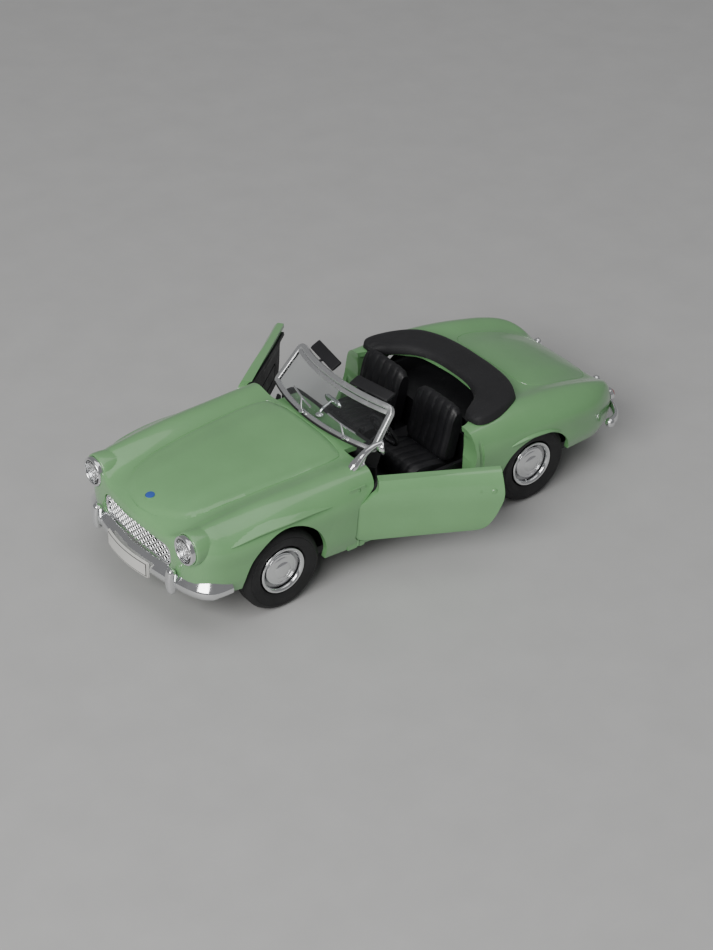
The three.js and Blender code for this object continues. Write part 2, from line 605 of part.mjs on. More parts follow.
// ---------------------------------------------------------------- folded soft top
const coverOuter = [
  [-14.6, 15.6], [-14.8, 19.4], [-16.2, 20.9], [-23.0, 20.2],
  [-28.6, 17.6], [-31.4, 12.4], [-32.6, 5.0], [-32.7, 0],
];
const coverInner = [[-24.0, 0], [-23.8, 6.4], [-22.2, 10.2], [-18.6, 13.2], [-14.6, 15.6]];
const coverLoop = [
  ...coverOuter, ...coverOuter.slice(0, -1).reverse().map(([x, y]) => [x, -y]),
  ...coverInner.slice(0, -1).reverse().map(([x, y]) => [x, -y]),
  ...coverInner.slice(1, -1),
];
const cover = planPrism(coverLoop, 20.0, 26.9, 0.8).subtract(clear);
add('soft_top_cover', cover, black());

// ---------------------------------------------------------------- windscreen
// Point of the curved screen: u across (-1..1), v up (0..1), t outward in mm.
const screenNormal = V3(SCREEN_TOP.z - SCREEN_BASE.z, 0, SCREEN_BASE.x - SCREEN_TOP.x).normalize();
function screenPoint(u, v, t) {
  const mix = key => SCREEN_BASE[key] + (SCREEN_TOP[key] - SCREEN_BASE[key]) * v;
  return V3(mix('x') - mix('sweep') * u * u, mix('y') * u, mix('z') - 0.3 * u * u)
    .addScaledVector(screenNormal, t);
}
const SCREEN_W = 17.0;           // half width of the frame's outline
const SCREEN_H = 10.7;
const SCREEN_CORNER = 2.2;
// Slab of the screen's outline inset by d mm, from t0 to t1 through its thickness.
function screenSlab(d, t0, t1, topDrop = 0) {
  const r = Math.max(SCREEN_CORNER - d, 0.5);
  const [side, head] = [SCREEN_W - d, SCREEN_H - d - topDrop];
  const places = [-side, -side + 0.3 * r, -side + r];
  for (let i = 1; i < 12; i += 1) places.push((side - r) * (i / 6 - 1));
  places.push(side - r, side - 0.3 * r, side);
  return sheet(2, places.length - 1, (layer, row, k) => {
    const over = Math.max(Math.abs(places[k]) - (side - r), 0);
    const top = head - r + Math.sqrt(Math.max(r * r - over * over, 0));
    const up = d + ((top - d) * row) / 2;
    return screenPoint(places[k] / SCREEN_W, up / SCREEN_H, layer === 0 ? t0 : t1);
  });
}
const FRAME_W = 0.95;            // width of the frame's pillars and foot
const HEADER = 0.8;              // extra depth of its top rail
const frame = screenSlab(-0.2, -0.6, 0.6).subtract(screenSlab(FRAME_W, -2, 2, HEADER)).subtract(clear);
add('windscreen_frame', frame, chrome());
add('windscreen_glass', screenSlab(FRAME_W + GAP, -0.3, 0.3, HEADER).subtract(clear), clearPlastic());

const VISOR = { y0: 3.0, y1: 13.3, deep: 2.7, thick: 0.7 };
const visor = (() => {
  const slab = box(-VISOR.deep, 0, VISOR.y0, VISOR.y1, -VISOR.thick / 2, VISOR.thick / 2);
  const plate = slab.rotate([0, 24, 0]).translate([SCREEN_TOP.x - 3.3, 0, SCREEN_TOP.z]);
  const stalk = box(SCREEN_TOP.x - 3.6, SCREEN_TOP.x + 2, 7.4, 8.4, SCREEN_TOP.z - 0.6, SCREEN_TOP.z - 0.1);
  return join(plate, stalk).subtract(screenSlab(-0.9, -1.7, 4));
})();
addPair('sun_visor', visor, black);

// A wiper lying low on the glass: blade from u0 to u1, arm from a pivot at the foot of the screen.
function wiper(u0, u1) {
  const blade = rod(screenPoint(u0, 0.3, 0.95), screenPoint(u1, 0.21, 0.95), 0.24, 8);
  const mid = (u0 + u1) / 2;
  const pivot = u1 - 0.1;
  return join(
    blade, rod(screenPoint(pivot, 0.04, 1.05), screenPoint(mid, 0.255, 0.95), 0.22, 8),
    rod(screenPoint(pivot, 0.04, 0.95), screenPoint(pivot, 0.04, 1.5), 0.45, 10));
}
add('left_wiper', wiper(0.24, 0.72), chrome());
add('right_wiper', wiper(-0.52, -0.04), chrome());

const mirrorFoot = V3(11.4, 0, topAt(11.4) + GAP);
add('interior_mirror', join(
  rod(mirrorFoot, mirrorFoot.clone().add(V3(0, 0, 0.5)), 0.9, 14),
  rod(mirrorFoot.clone().add(V3(0, 0, 0.3)), V3(8.2, 0, 28.0), 0.3, 10),
  box(7.4, 8.3, -2.7, 2.7, 27.2, 28.9),
), chrome());

// ---------------------------------------------------------------- wing mirror
const WING = { x: 16.3, y: 18.8, z: 24.6 };
const armPath = new THREE.CatmullRomCurve3([
  V3(WING.x + 0.4, WING.y, WING.z + 0.3), V3(WING.x - 1.6, WING.y + 0.2, WING.z + 2.2),
  V3(WING.x - 3.8, WING.y + 0.4, WING.z + 3.7), V3(WING.x - 6.0, WING.y + 0.6, WING.z + 4.0),
]);
const armShape = new THREE.Shape().absellipse(0, 0, 0.4, 0.6, 0, 2 * Math.PI);
const armSweep = { steps: 8, curveSegments: 10, extrudePath: armPath };
const arm = toSolid(new THREE.ExtrudeGeometry(armShape, armSweep));
const wingHead = turned([[0, -1.0], [0.9, -0.8], [1.5, -0.1], [1.6, 0.4], [0, 0.4]],
  V3(-1, 0, 0.05), V3(WING.x - 6.4, WING.y + 0.65, WING.z + 3.0), 18);
const wingPad = planPrism([
  [WING.x + 1.5, WING.y + 0.1], [WING.x + 1.2, WING.y + 0.7], [WING.x - 1.6, WING.y + 0.8],
  [WING.x - 1.8, WING.y - 0.6], [WING.x + 1.2, WING.y - 0.6],
], WING.z - 1, WING.z + 0.9);
add('wing_mirror', join(wingPad, arm, wingHead).subtract(clear), chrome());

// ---------------------------------------------------------------- lamps, grille, bumpers
const bezel = turned([
  [2.45, -2.0], [LAMP.r - 0.15, -2.0], [LAMP.r, -0.4], [2.85, 0.15], [2.55, 0.25], [2.4, 0.0], [2.45, -2.0],
], lampAxis, V3(LAMP.x, LAMP.y, LAMP.z), 22);
addPair('headlight_bezel', bezel, chrome);
const lens = turned([[0, -1.9], [2.1, -1.9], [2.1, -0.1], [1.6, 0.28], [0.8, 0.5], [0, 0.56]],
  lampAxis, V3(LAMP.x, LAMP.y, LAMP.z), 18);
addPair('headlight_lens', lens, clearPlastic);

const gOut = rounded(GRILLE.half - GAP, GRILLE.z0 + GAP, GRILLE.z1 - GAP, 2.2);
const gIn = rounded(GRILLE.half - GAP - 0.9, GRILLE.z0 + GAP + 0.8, GRILLE.z1 - GAP - 0.8, 1.5);
const gx = GRILLE.back + GAP;
let grille = frontPrism(gOut, gx, gx + 2.4).subtract(frontPrism(gIn, gx + 1.2, gx + 4));
const mesh = [];
for (let i = -4; i <= 4; i += 1) {
  for (const lean of [-3.1, 3.1]) {
    const [a, b] = [i * 2.9 - lean, i * 2.9 + lean];
    const bar = [[a - 0.25, GRILLE.z0], [a + 0.25, GRILLE.z0], [b + 0.25, GRILLE.z1], [b - 0.25, GRILLE.z1]];
    mesh.push(frontPrism(bar, gx + 0.9, gx + (lean > 0 ? 1.7 : 1.6)));
  }
}
grille = join(grille, join(...mesh).intersect(frontPrism(
  rounded(GRILLE.half - GAP - 0.5, GRILLE.z0 + GAP + 0.4, GRILLE.z1 - GAP - 0.4, 1.8), gx, gx + 2.0)));
add('grille', grille, chrome());

function bumper(half, h, thick, z) {
  const path = [...half.map(([x, y]) => [x, y, z]).reverse(), ...half.slice(1).map(([x, y]) => [x, -y, z])];
  return sweep(path, h, thick, 20, 8, 0.7);
}
const frontBar = bumper([
  [59.1, 0], [58.4, 7.0], [57.3, 13.6], [56.1, 18.0], [54.7, 20.5], [52.4, 21.9], [49.4, 22.1],
], 3.2, 2.3, 10.65);
const overrider = (x, y, z0, z1) => {
  const lean = new THREE.CatmullRomCurve3([V3(x - 0.5, y, z0), V3(x, y, (z0 + z1) / 2), V3(x - 0.6, y, z1)]);
  const shape = new THREE.Shape().absellipse(0, 0, 0.85, 0.7, 0, 2 * Math.PI);
  return toSolid(new THREE.ExtrudeGeometry(shape, { steps: 4, curveSegments: 10, extrudePath: lean }));
};
const frontOver = overrider(58.5, 13.9, 8.2, 13.2);
add('front_bumper', cut(join(frontBar, frontOver, mirrored(frontOver)), clear), chrome());

const REAR_BAR_Z = 11.7;
const rearBar = bumper([
  [-59.4, 0], [-59.25, 8.0], [-58.7, 14.4], [-57.2, 18.4], [-55.0, 21.2], [-52.6, 22.2],
], 2.2, 1.2, REAR_BAR_Z);
const rearEnd = toSolid(new THREE.SphereGeometry(1.1, 14, 10).translate(-52.6, 22.2, REAR_BAR_Z));
const rearOver = overrider(-59.2, 10.1, 8.6, 15.2);
const rearParts = [rearOver, mirrored(rearOver), rearEnd, mirrored(rearEnd)];
add('rear_bumper', cut(join(rearBar, ...rearParts), clear), chrome());

// A plate bent to the front bumper's curve.
const bentPlate = (() => {
  const front = [];
  for (let i = -4; i <= 4; i += 1) front.push([60.9 - 0.0155 * (i * 1.85) ** 2, i * 1.85]);
  return planPrism([...front, ...front.map(([x, y]) => [x - 0.5, y]).reverse()], 8.7, 12.3);
})();
add('front_number_plate', bentPlate, material(0xe8e8e4, 0.4, 0));
add('rear_number_plate', box(-60.6, -60.1, -5.4, 5.4, 8.4, 12.8), material(0xe8e8e4, 0.4, 0));

const tailLamp = turned([[0, -1.2], [1.25, -1.2], [1.35, 0.1], [1.0, 0.6], [0, 0.8]],
  V3(-1, 0.12, 0.1), V3(-57.6, 16.4, 14.6), 18);
addPair('tail_light', tailLamp.subtract(clear), () => material(0xa81e1e, 0.2, 0.0));

const badge = turned([[0, -1.0], [1.15, -1.0], [1.15, 0.45], [0.8, 0.65], [0, 0.7]],
  V3(0.35, 0, 1), V3(54.0, 0, topAt(54.0)), 20).subtract(clear);
add('bonnet_badge', badge, chrome());

// ---------------------------------------------------------------- doors
const DOOR_SKIN = 1.5;
const CARD_T = 1.0;
const doorInner = bodySolid(DOOR_SKIN, FRONT_END, REAR_END, 9, -2);
const rimTop = box(-40, 40, 0, 40, -5, 23.2);
let doorSkin = outer.subtract(doorInner).intersect(doorBlock(0)).intersect(rimTop)
  .intersect(box(-40, 40, 19.6, 40, 0, 40));
doorSkin = doorSkin.subtract(ahead(DOOR_ROLL_R));
const knuckle = rod(V3(DOOR_HINGE.x, DOOR_HINGE.y, DOOR_BOTTOM), V3(DOOR_HINGE.x, DOOR_HINGE.y, 20.7),
  DOOR_ROLL_R, 18).intersect(outer);
doorSkin = join(doorSkin, knuckle);
doorSkin = doorSkin.subtract(rod(V3(DOOR_HINGE.x, DOOR_HINGE.y, 0), V3(DOOR_HINGE.x, DOOR_HINGE.y, 40),
  DOOR_PIN_R + RUN, 16));
// Door card edges at each height: [z, rear x, front x].
const CARD_ROWS = [
  [10.2, -8.6, 15.4], [13.0, -10.4, 15.4], [15.2, -11.0, 15.4], [17.4, -11.6, 15.4],
  [19.6, -11.4, 15.4], [20.9, -11.0, 14.9],
];
const card = sheet(CARD_ROWS.length - 1, 8, (layer, row, k) => {
  const [z, rear, front] = CARD_ROWS[row];
  const x = rear + ((front - rear) * k) / 8;
  return V3(x, sideAt(x, z, DOOR_SKIN + GAP) - (layer === 0 ? 0 : CARD_T), z);
});

function swing(solid, side, degrees) {
  const s = side === 'left' ? 1 : -1;
  const body = side === 'left' ? solid : mirrored(solid);
  return body.translate([-DOOR_HINGE.x, -s * DOOR_HINGE.y, 0]).rotate([0, 0, -s * degrees])
    .translate([DOOR_HINGE.x, s * DOOR_HINGE.y, 0]);
}
for (const [side, degrees] of [['left', LEFT_DOOR_OPEN], ['right', RIGHT_DOOR_OPEN]]) {
  add(`${side}_door`, swing(doorSkin, side, degrees), paint());
  add(`${side}_door_card`, swing(card, side, degrees), black());
}
addPair('hinge_pin', rod(V3(DOOR_HINGE.x, DOOR_HINGE.y, 8.0), V3(DOOR_HINGE.x, DOOR_HINGE.y, 22.2),
  DOOR_PIN_R, 16), steel);

// ---------------------------------------------------------------- placing
// The doors stand open by different amounts, so the whole is centred on its outline.
const extent = new THREE.Box3().setFromObject(car);
const shift = [-(extent.min.x + extent.max.x) / 2, -(extent.min.y + extent.max.y) / 2, 0];

// Places a piece and sets its corners on a 1 micrometre grid, so near-equal corners become one.
function settle(geometry) {
  geometry.translate(...shift);
  const grid = geometry.attributes.position.array.map(value => Math.round(value * 1000) / 1000);
  geometry.setAttribute('position', new THREE.BufferAttribute(grid, 3));
  geometry.deleteAttribute('normal');
  const merged = mergeVertices(geometry, 5e-4);
  const faces = new Map();
  const src = merged.index.array;
  for (let i = 0; i < src.length; i += 3) {
    const tri = [src[i], src[i + 1], src[i + 2]];
    if (new Set(tri).size < 3) continue;
    const key = [...tri].sort((a, b) => a - b).join();
    if (faces.has(key)) faces.delete(key);
    else faces.set(key, tri);
  }
  merged.setIndex([...faces.values()].flat());
  merged.computeVertexNormals();
  return merged;
}
for (const piece of car.children) piece.geometry = settle(piece.geometry);
car.userData.shift = shift;

export default car;
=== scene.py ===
"""Looks of the diecast collector car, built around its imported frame.

Lengths are millimetres in the car's own coordinates (centre plane y = 0, +X forward, +Z up) until an
object is made. Then they move by the frame's offset and become metres.
"""

import json
import math

import bmesh
import bpy
import numpy as np
from mathutils import Matrix, Vector


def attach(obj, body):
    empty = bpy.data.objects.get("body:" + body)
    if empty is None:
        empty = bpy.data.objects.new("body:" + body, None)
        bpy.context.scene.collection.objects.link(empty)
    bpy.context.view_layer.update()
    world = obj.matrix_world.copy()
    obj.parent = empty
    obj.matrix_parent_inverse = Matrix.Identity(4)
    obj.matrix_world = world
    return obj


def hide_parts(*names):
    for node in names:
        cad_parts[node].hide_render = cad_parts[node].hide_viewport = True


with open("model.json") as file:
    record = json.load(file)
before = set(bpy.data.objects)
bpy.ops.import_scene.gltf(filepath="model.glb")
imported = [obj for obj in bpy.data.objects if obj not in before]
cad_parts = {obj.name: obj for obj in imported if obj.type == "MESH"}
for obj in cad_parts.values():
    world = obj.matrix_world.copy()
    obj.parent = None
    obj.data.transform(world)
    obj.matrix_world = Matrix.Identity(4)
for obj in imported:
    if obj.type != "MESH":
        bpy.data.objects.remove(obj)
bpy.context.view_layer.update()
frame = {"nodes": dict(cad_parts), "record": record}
joints = {joint["name"]: joint for joint in frame["record"]["behaviour"]["joints"]}

MM = 0.001
HINGE_X, HINGE_Y = 18.0, 22.3            # door pins in the car's own coordinates
LEFT_PIN = np.array(joints["left_door_hinge"]["pos_m"]) / MM
RIGHT_PIN = np.array(joints["right_door_hinge"]["pos_m"]) / MM
OFFSET = np.array([LEFT_PIN[0] - HINGE_X, (LEFT_PIN[1] + RIGHT_PIN[1]) / 2, 0.0])
LEFT_OPEN = -joints["left_door_hinge"]["range_deg"][0]
RIGHT_OPEN = -joints["right_door_hinge"]["range_deg"][0]
CAR, LEFT_DOOR, RIGHT_DOOR = "car", "left_door_body", "right_door_body"

WALL = 1.2
AXLE_Z, TYRE_R, TYRE_W, WHEEL_FACE, RIM_R = 9.25, 9.25, 5.0, 22.3, 5.3
FRONT_AXLE_X, REAR_AXLE_X = 36.65, -30.0
FRONT_END, REAR_END = 58.4, -58.6
DOOR_ROLL_R, DOOR_LENGTH, DOOR_BOTTOM = 1.1, 30.8, 9.2
DOOR_THICK, CARD_THICK = 1.5, 1.0
PIN_TOP = 22.3
BASE_TOP = 9.1
TUB_FLOOR = BASE_TOP + 0.3
SCREW_XS, SCREW_POST_R, SCREW_BORE_R = (49.3, -49.5), 2.0, 0.97

# Body stations: x, centre height, crown (y, z), half width, sill height.
STATIONS = np.array([
    [58.4, 19.4, 11.5, 19.6, 14.6, 12.1],
    [57.7, 20.5, 14.6, 21.3, 17.7, 11.3],
    [56.2, 21.4, 16.4, 22.8, 20.1, 10.6],
    [53.5, 22.3, 17.0, 23.7, 21.8, 10.0],
    [49.5, 23.0, 17.2, 24.1, 22.8, 9.4],
    [44.0, 23.7, 17.5, 24.5, 23.4, 9.2],
    [36.6, 24.3, 17.9, 24.9, 23.7, 8.9],
    [27.0, 24.8, 18.3, 25.0, 23.5, 8.3],
    [17.0, 25.4, 18.8, 25.0, 23.3, 7.7],
    [8.0, 25.4, 19.3, 24.5, 23.1, 7.5],
    [-3.0, 24.6, 19.6, 23.7, 23.0, 7.5],
    [-13.0, 24.1, 19.4, 23.7, 23.1, 7.9],
    [-21.0, 24.0, 18.9, 24.2, 23.4, 8.6],
    [-29.0, 23.7, 18.5, 24.1, 23.6, 9.2],
    [-36.0, 23.0, 18.1, 23.4, 23.5, 9.6],
    [-43.0, 21.7, 17.7, 22.2, 22.9, 9.4],
    [-49.5, 19.9, 17.3, 20.7, 21.6, 8.8],
    [-54.5, 17.9, 16.5, 18.9, 19.2, 8.6],
    [-57.3, 16.2, 14.6, 17.0, 16.7, 9.2],
    [-58.6, 14.4, 11.8, 15.0, 13.6, 10.4],
])


# ------------------------------------------------------------------ numeric helpers
def through(x, column):
    """Smooth values of one station column at the places x."""
    rows = STATIONS[::-1]
    xs, values = rows[:, 0], rows[:, column]
    slopes = np.empty(len(xs))
    slopes[1:-1] = (values[2:] - values[:-2]) / (xs[2:] - xs[:-2])
    slopes[0] = (values[1] - values[0]) / (xs[1] - xs[0])
    slopes[-1] = (values[-1] - values[-2]) / (xs[-1] - xs[-2])
    i = np.clip(np.searchsorted(xs, x) - 1, 0, len(xs) - 2)
    h = xs[i + 1] - xs[i]
    t = (x - xs[i]) / h
    return ((2 * t**3 - 3 * t**2 + 1) * values[i] + (t**3 - 2 * t**2 + t) * h * slopes[i]
            + (3 * t**2 - 2 * t**3) * values[i + 1] + (t**3 - t**2) * h * slopes[i + 1])


def spline(points, count, closed=False, start=None):
    """Centripetal Catmull-Rom curve through points (k, ..., dim), sampled evenly in parameter."""
    points = np.asarray(points, float)
    if closed:
        ext = np.concatenate([points[-1:], points, points[:2]])
        spans = len(points)
    else:
        first = 2 * points[0] - points[1] if start is None else start
        ext = np.concatenate([first[None], points, (2 * points[-1] - points[-2])[None]])
        spans = len(points) - 1
    s = np.linspace(0, spans, count, endpoint=not closed)
    out = []
    for value in s:
        i = min(int(value), spans - 1)
        t = value - i
        a, b, c, d = ext[i:i + 4]
        ab, bc, cd = (np.maximum(np.linalg.norm(q - p, axis=-1, keepdims=True), 1e-6) ** 0.5
                      for p, q in ((a, b), (b, c), (c, d)))
        m1 = ((b - a) / ab - (c - a) / (ab + bc) + (c - b) / bc) * bc
        m2 = ((c - b) / bc - (d - b) / (bc + cd) + (d - c) / cd) * bc
        out.append(b + m1 * t + (-3 * b + 3 * c - 2 * m1 - m2) * t**2 + (2 * b - 2 * c + m1 + m2) * t**3)
    return np.array(out)


def smoothstep(x, a, b):
    t = np.clip((x - a) / (b - a), 0, 1)
    return t * t * (3 - 2 * t)


def line_distance(points, line):
    """Distance from points (n, 2) to a closed line, and whether each is inside it."""
    line = np.asarray(line, float)
    best = np.full(len(points), 1e9)
    inside = np.zeros(len(points), bool)
    for p, q in zip(line, np.roll(line, -1, axis=0)):
        d = q - p
        t = np.clip(((points - p) @ d) / max(d @ d, 1e-12), 0, 1)
        best = np.minimum(best, np.linalg.norm(points - (p + t[:, None] * d), axis=1))
        cross = (p[1] > points[:, 1]) != (q[1] > points[:, 1])
        slope = (q[0] - p[0]) / ((q[1] - p[1]) or 1e-12)
        inside ^= cross & (points[:, 0] < slope * (points[:, 1] - p[1]) + p[0])
    return best, inside


def rolled(distance, radius):
    """Depth below the surface of an edge rounded to radius, at a distance from the edge."""
    d = np.clip(distance, 0, radius)
    return radius - np.sqrt(np.maximum(radius**2 - (radius - d) ** 2, 0))


# ------------------------------------------------------------------ mesh helpers
def grid_faces(n, m, wrap_n=False, wrap_m=False):
    faces = []
    for i in range(n if wrap_n else n - 1):
        for k in range(m if wrap_m else m - 1):
            a, b = i * m + k, i * m + (k + 1) % m
            c, d = ((i + 1) % n) * m + (k + 1) % m, ((i + 1) % n) * m + k
            faces.append((a, b, c, d))
    return faces


def make(name, points, faces, material=None, sharp=38, place=True):
    """An object from points in the car's own millimetres."""
    points = np.asarray(points, float).reshape(-1, 3)
    data = bpy.data.meshes.new(name)
    data.from_pydata(((points + (OFFSET if place else 0)) * MM).tolist(), [], [list(f) for f in faces])
    obj = bpy.data.objects.new(name, data)
    bpy.context.collection.objects.link(obj)
    tidy(obj, sharp)
    if material:
        obj.data.materials.append(material)
    return obj


def tidy(obj, sharp=38):
    """Faces outward, doubles merged, smooth with edges sharp above an angle."""
    bm = bmesh.new()
    bm.from_mesh(obj.data)
    bmesh.ops.remove_doubles(bm, verts=bm.verts, dist=2e-6)
    bmesh.ops.recalc_face_normals(bm, faces=bm.faces)
    limit = math.radians(sharp)
    for f in bm.faces:
        f.smooth = True
    for e in bm.edges:
        e.smooth = not (len(e.link_faces) == 2 and e.calc_face_angle(0.0) > limit)
    bm.to_mesh(obj.data)
    bm.free()


def applied(obj, sharp=38):
    """Applies every modifier of obj."""
    bpy.context.view_layer.update()
    graph = bpy.context.evaluated_depsgraph_get()
    data = bpy.data.meshes.new_from_object(obj.evaluated_get(graph))
    obj.modifiers.clear()
    old = obj.data
    obj.data = data
    bpy.data.meshes.remove(old)
    tidy(obj, sharp)
    return obj


def boolean(obj, tools, operation="DIFFERENCE", sharp=38):
    for tool in tools:
        step = obj.modifiers.new("cut", "BOOLEAN")
        step.operation = operation
        step.solver = "MANIFOLD"
        step.object = tool
    finish = obj.data.materials[0] if obj.data.materials else None
    applied(obj, sharp)
    obj.data.materials.clear()
    if finish:
        obj.data.materials.append(finish)
    obj.data.polygons.foreach_set("material_index", [0] * len(obj.data.polygons))
    for tool in tools:
        bpy.data.objects.remove(tool)
    return obj


def bevelled(obj, width):
    step = obj.modifiers.new("bevel", "BEVEL")
    step.width = width * MM
    step.segments = 3
    step.limit_method = "ANGLE"
    step.angle_limit = math.radians(32)
    step.harden_normals = False
    return applied(obj)


def closed_grid(name, rings, material=None, sharp=38, loop=False):
    """A closed body from rings (n, m, 3): capped at both ends, or a loop of rings."""
    rings = np.asarray(rings, float)
    n, m = rings.shape[:2]
    faces = grid_faces(n, m, wrap_n=loop, wrap_m=True)
    points = rings.reshape(-1, 3)
    if not loop:
        faces.append(tuple(range(m - 1, -1, -1)))
        faces.append(tuple(range((n - 1) * m, n * m)))
    return make(name, points, faces, material, sharp)


def lathe(name, profile, origin, axis, material=None, sides=64, closed=False):
    """A turned piece: profile of (radius, along)."""
    axis = np.asarray(axis, float) / np.linalg.norm(axis)
    helper = np.array([0, 0, 1.0]) if abs(axis[2]) < 0.9 else np.array([1.0, 0, 0])
    u = np.cross(helper, axis)
    u /= np.linalg.norm(u)
    v = np.cross(axis, u)
    angles = np.linspace(0, 2 * math.pi, sides, endpoint=False)
    spin = np.cos(angles)[:, None] * u + np.sin(angles)[:, None] * v
    profile = np.asarray(profile, float)
    rings = np.asarray(origin) + profile[:, 1, None, None] * axis + profile[:, 0, None, None] * spin[None]
    n, m = rings.shape[:2]
    return make(name, rings, grid_faces(n, m, wrap_n=closed, wrap_m=True), material)


def sweep(name, path, section, material=None, up=(0, 0, 1), sharp=38, scale=None, loop=False):
    """A bar of the given section (across, upright) along a path."""
    path = np.asarray(path, float)
    if loop:
        tangent = np.roll(path, -1, axis=0) - np.roll(path, 1, axis=0)
    else:
        tangent = np.gradient(path, axis=0)
    tangent /= np.linalg.norm(tangent, axis=1, keepdims=True)
    up = np.broadcast_to(np.asarray(up, float), path.shape)
    side = np.cross(tangent, up)
    side /= np.linalg.norm(side, axis=1, keepdims=True)
    rise = np.cross(side, tangent)
    section = np.asarray(section, float)
    size = np.ones(len(path)) if scale is None else np.asarray(scale, float)
    rings = (path[:, None] + size[:, None, None] * (section[None, :, 0, None] * side[:, None]
             + section[None, :, 1, None] * rise[:, None]))
    return closed_grid(name, rings, material, sharp, loop)


def oval(width, height, count=24, power=1.0):
    a = np.linspace(0, 2 * math.pi, count, endpoint=False)
    c, s = np.cos(a), np.sin(a)
    return np.stack([width / 2 * np.sign(c) * np.abs(c) ** power,
                     height / 2 * np.sign(s) * np.abs(s) ** power], 1)


def prism(name, outline, low, high, plane, material=None):
    """An outline raised between two heights; plane names the outline's two axes."""
    order = {"xy": (0, 1, 2), "xz": (0, 2, 1), "yz": (1, 2, 0)}[plane]
    outline = np.asarray(outline, float)
    m = len(outline)
    points = np.zeros((2, m, 3))
    for row, level in enumerate((low, high)):
        points[row][:, order[0]] = outline[:, 0]
        points[row][:, order[1]] = outline[:, 1]
        points[row][:, order[2]] = level
    faces = grid_faces(2, m, wrap_m=True) + [tuple(range(m - 1, -1, -1)), tuple(range(m, 2 * m))]
    return make(name, points, faces, material)


def block(name, low, high):
    (x0, y0, z0), (x1, y1, z1) = low, high
    return prism(name, [(x0, y0), (x1, y0), (x1, y1), (x0, y1)], z0, z1, "xy")


def rod(name, a, b, radius, material=None, sides=32):
    """A round bar with softly rounded ends."""
    a, b = np.asarray(a, float), np.asarray(b, float)
    span = np.linalg.norm(b - a)
    e = min(0.25 * radius, span / 3)
    profile = [(0, 0), (radius - e, 0), (radius - 0.3 * e, 0.3 * e), (radius, e),
               (radius, span - e), (radius - 0.3 * e, span - 0.3 * e), (radius - e, span), (0, span)]
    return lathe(name, profile, a, b - a, material, sides)


def joined(name, parts):
    """One object from several."""
    bm = bmesh.new()
    for part in parts:
        bm.from_mesh(part.data)
    material = parts[0].data.materials[0] if parts[0].data.materials else None
    data = bpy.data.meshes.new(name)
    bm.to_mesh(data)
    bm.free()
    for part in parts:
        bpy.data.objects.remove(part)
    obj = bpy.data.objects.new(name, data)
    bpy.context.collection.objects.link(obj)
    if material:
        data.materials.append(material)
    tidy(obj)
    return obj


def mirror_copy(obj, name):
    """The same piece on the other side of the car."""
    data = obj.data.copy()
    plane = OFFSET[1] * MM
    data.transform(Matrix.Translation((0, 2 * plane, 0)) @ Matrix.Scale(-1, 4, (0, 1, 0)))
    copy = bpy.data.objects.new(name, data)
    bpy.context.collection.objects.link(copy)
    tidy(copy)
    return copy


def place(obj, body, nodes=(), slot=None):
    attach(obj, body)
    if nodes:
        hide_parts(*([nodes] if isinstance(nodes, str) else nodes))
    return obj


def place_pair(piece, node, slot):
    """A left piece and its mirror image, each in place of its own node."""
    other = mirror_copy(piece, piece.name.replace("left", "right"))
    place(piece, CAR, "left_" + node, slot)
    place(other, CAR, "right_" + node, slot)


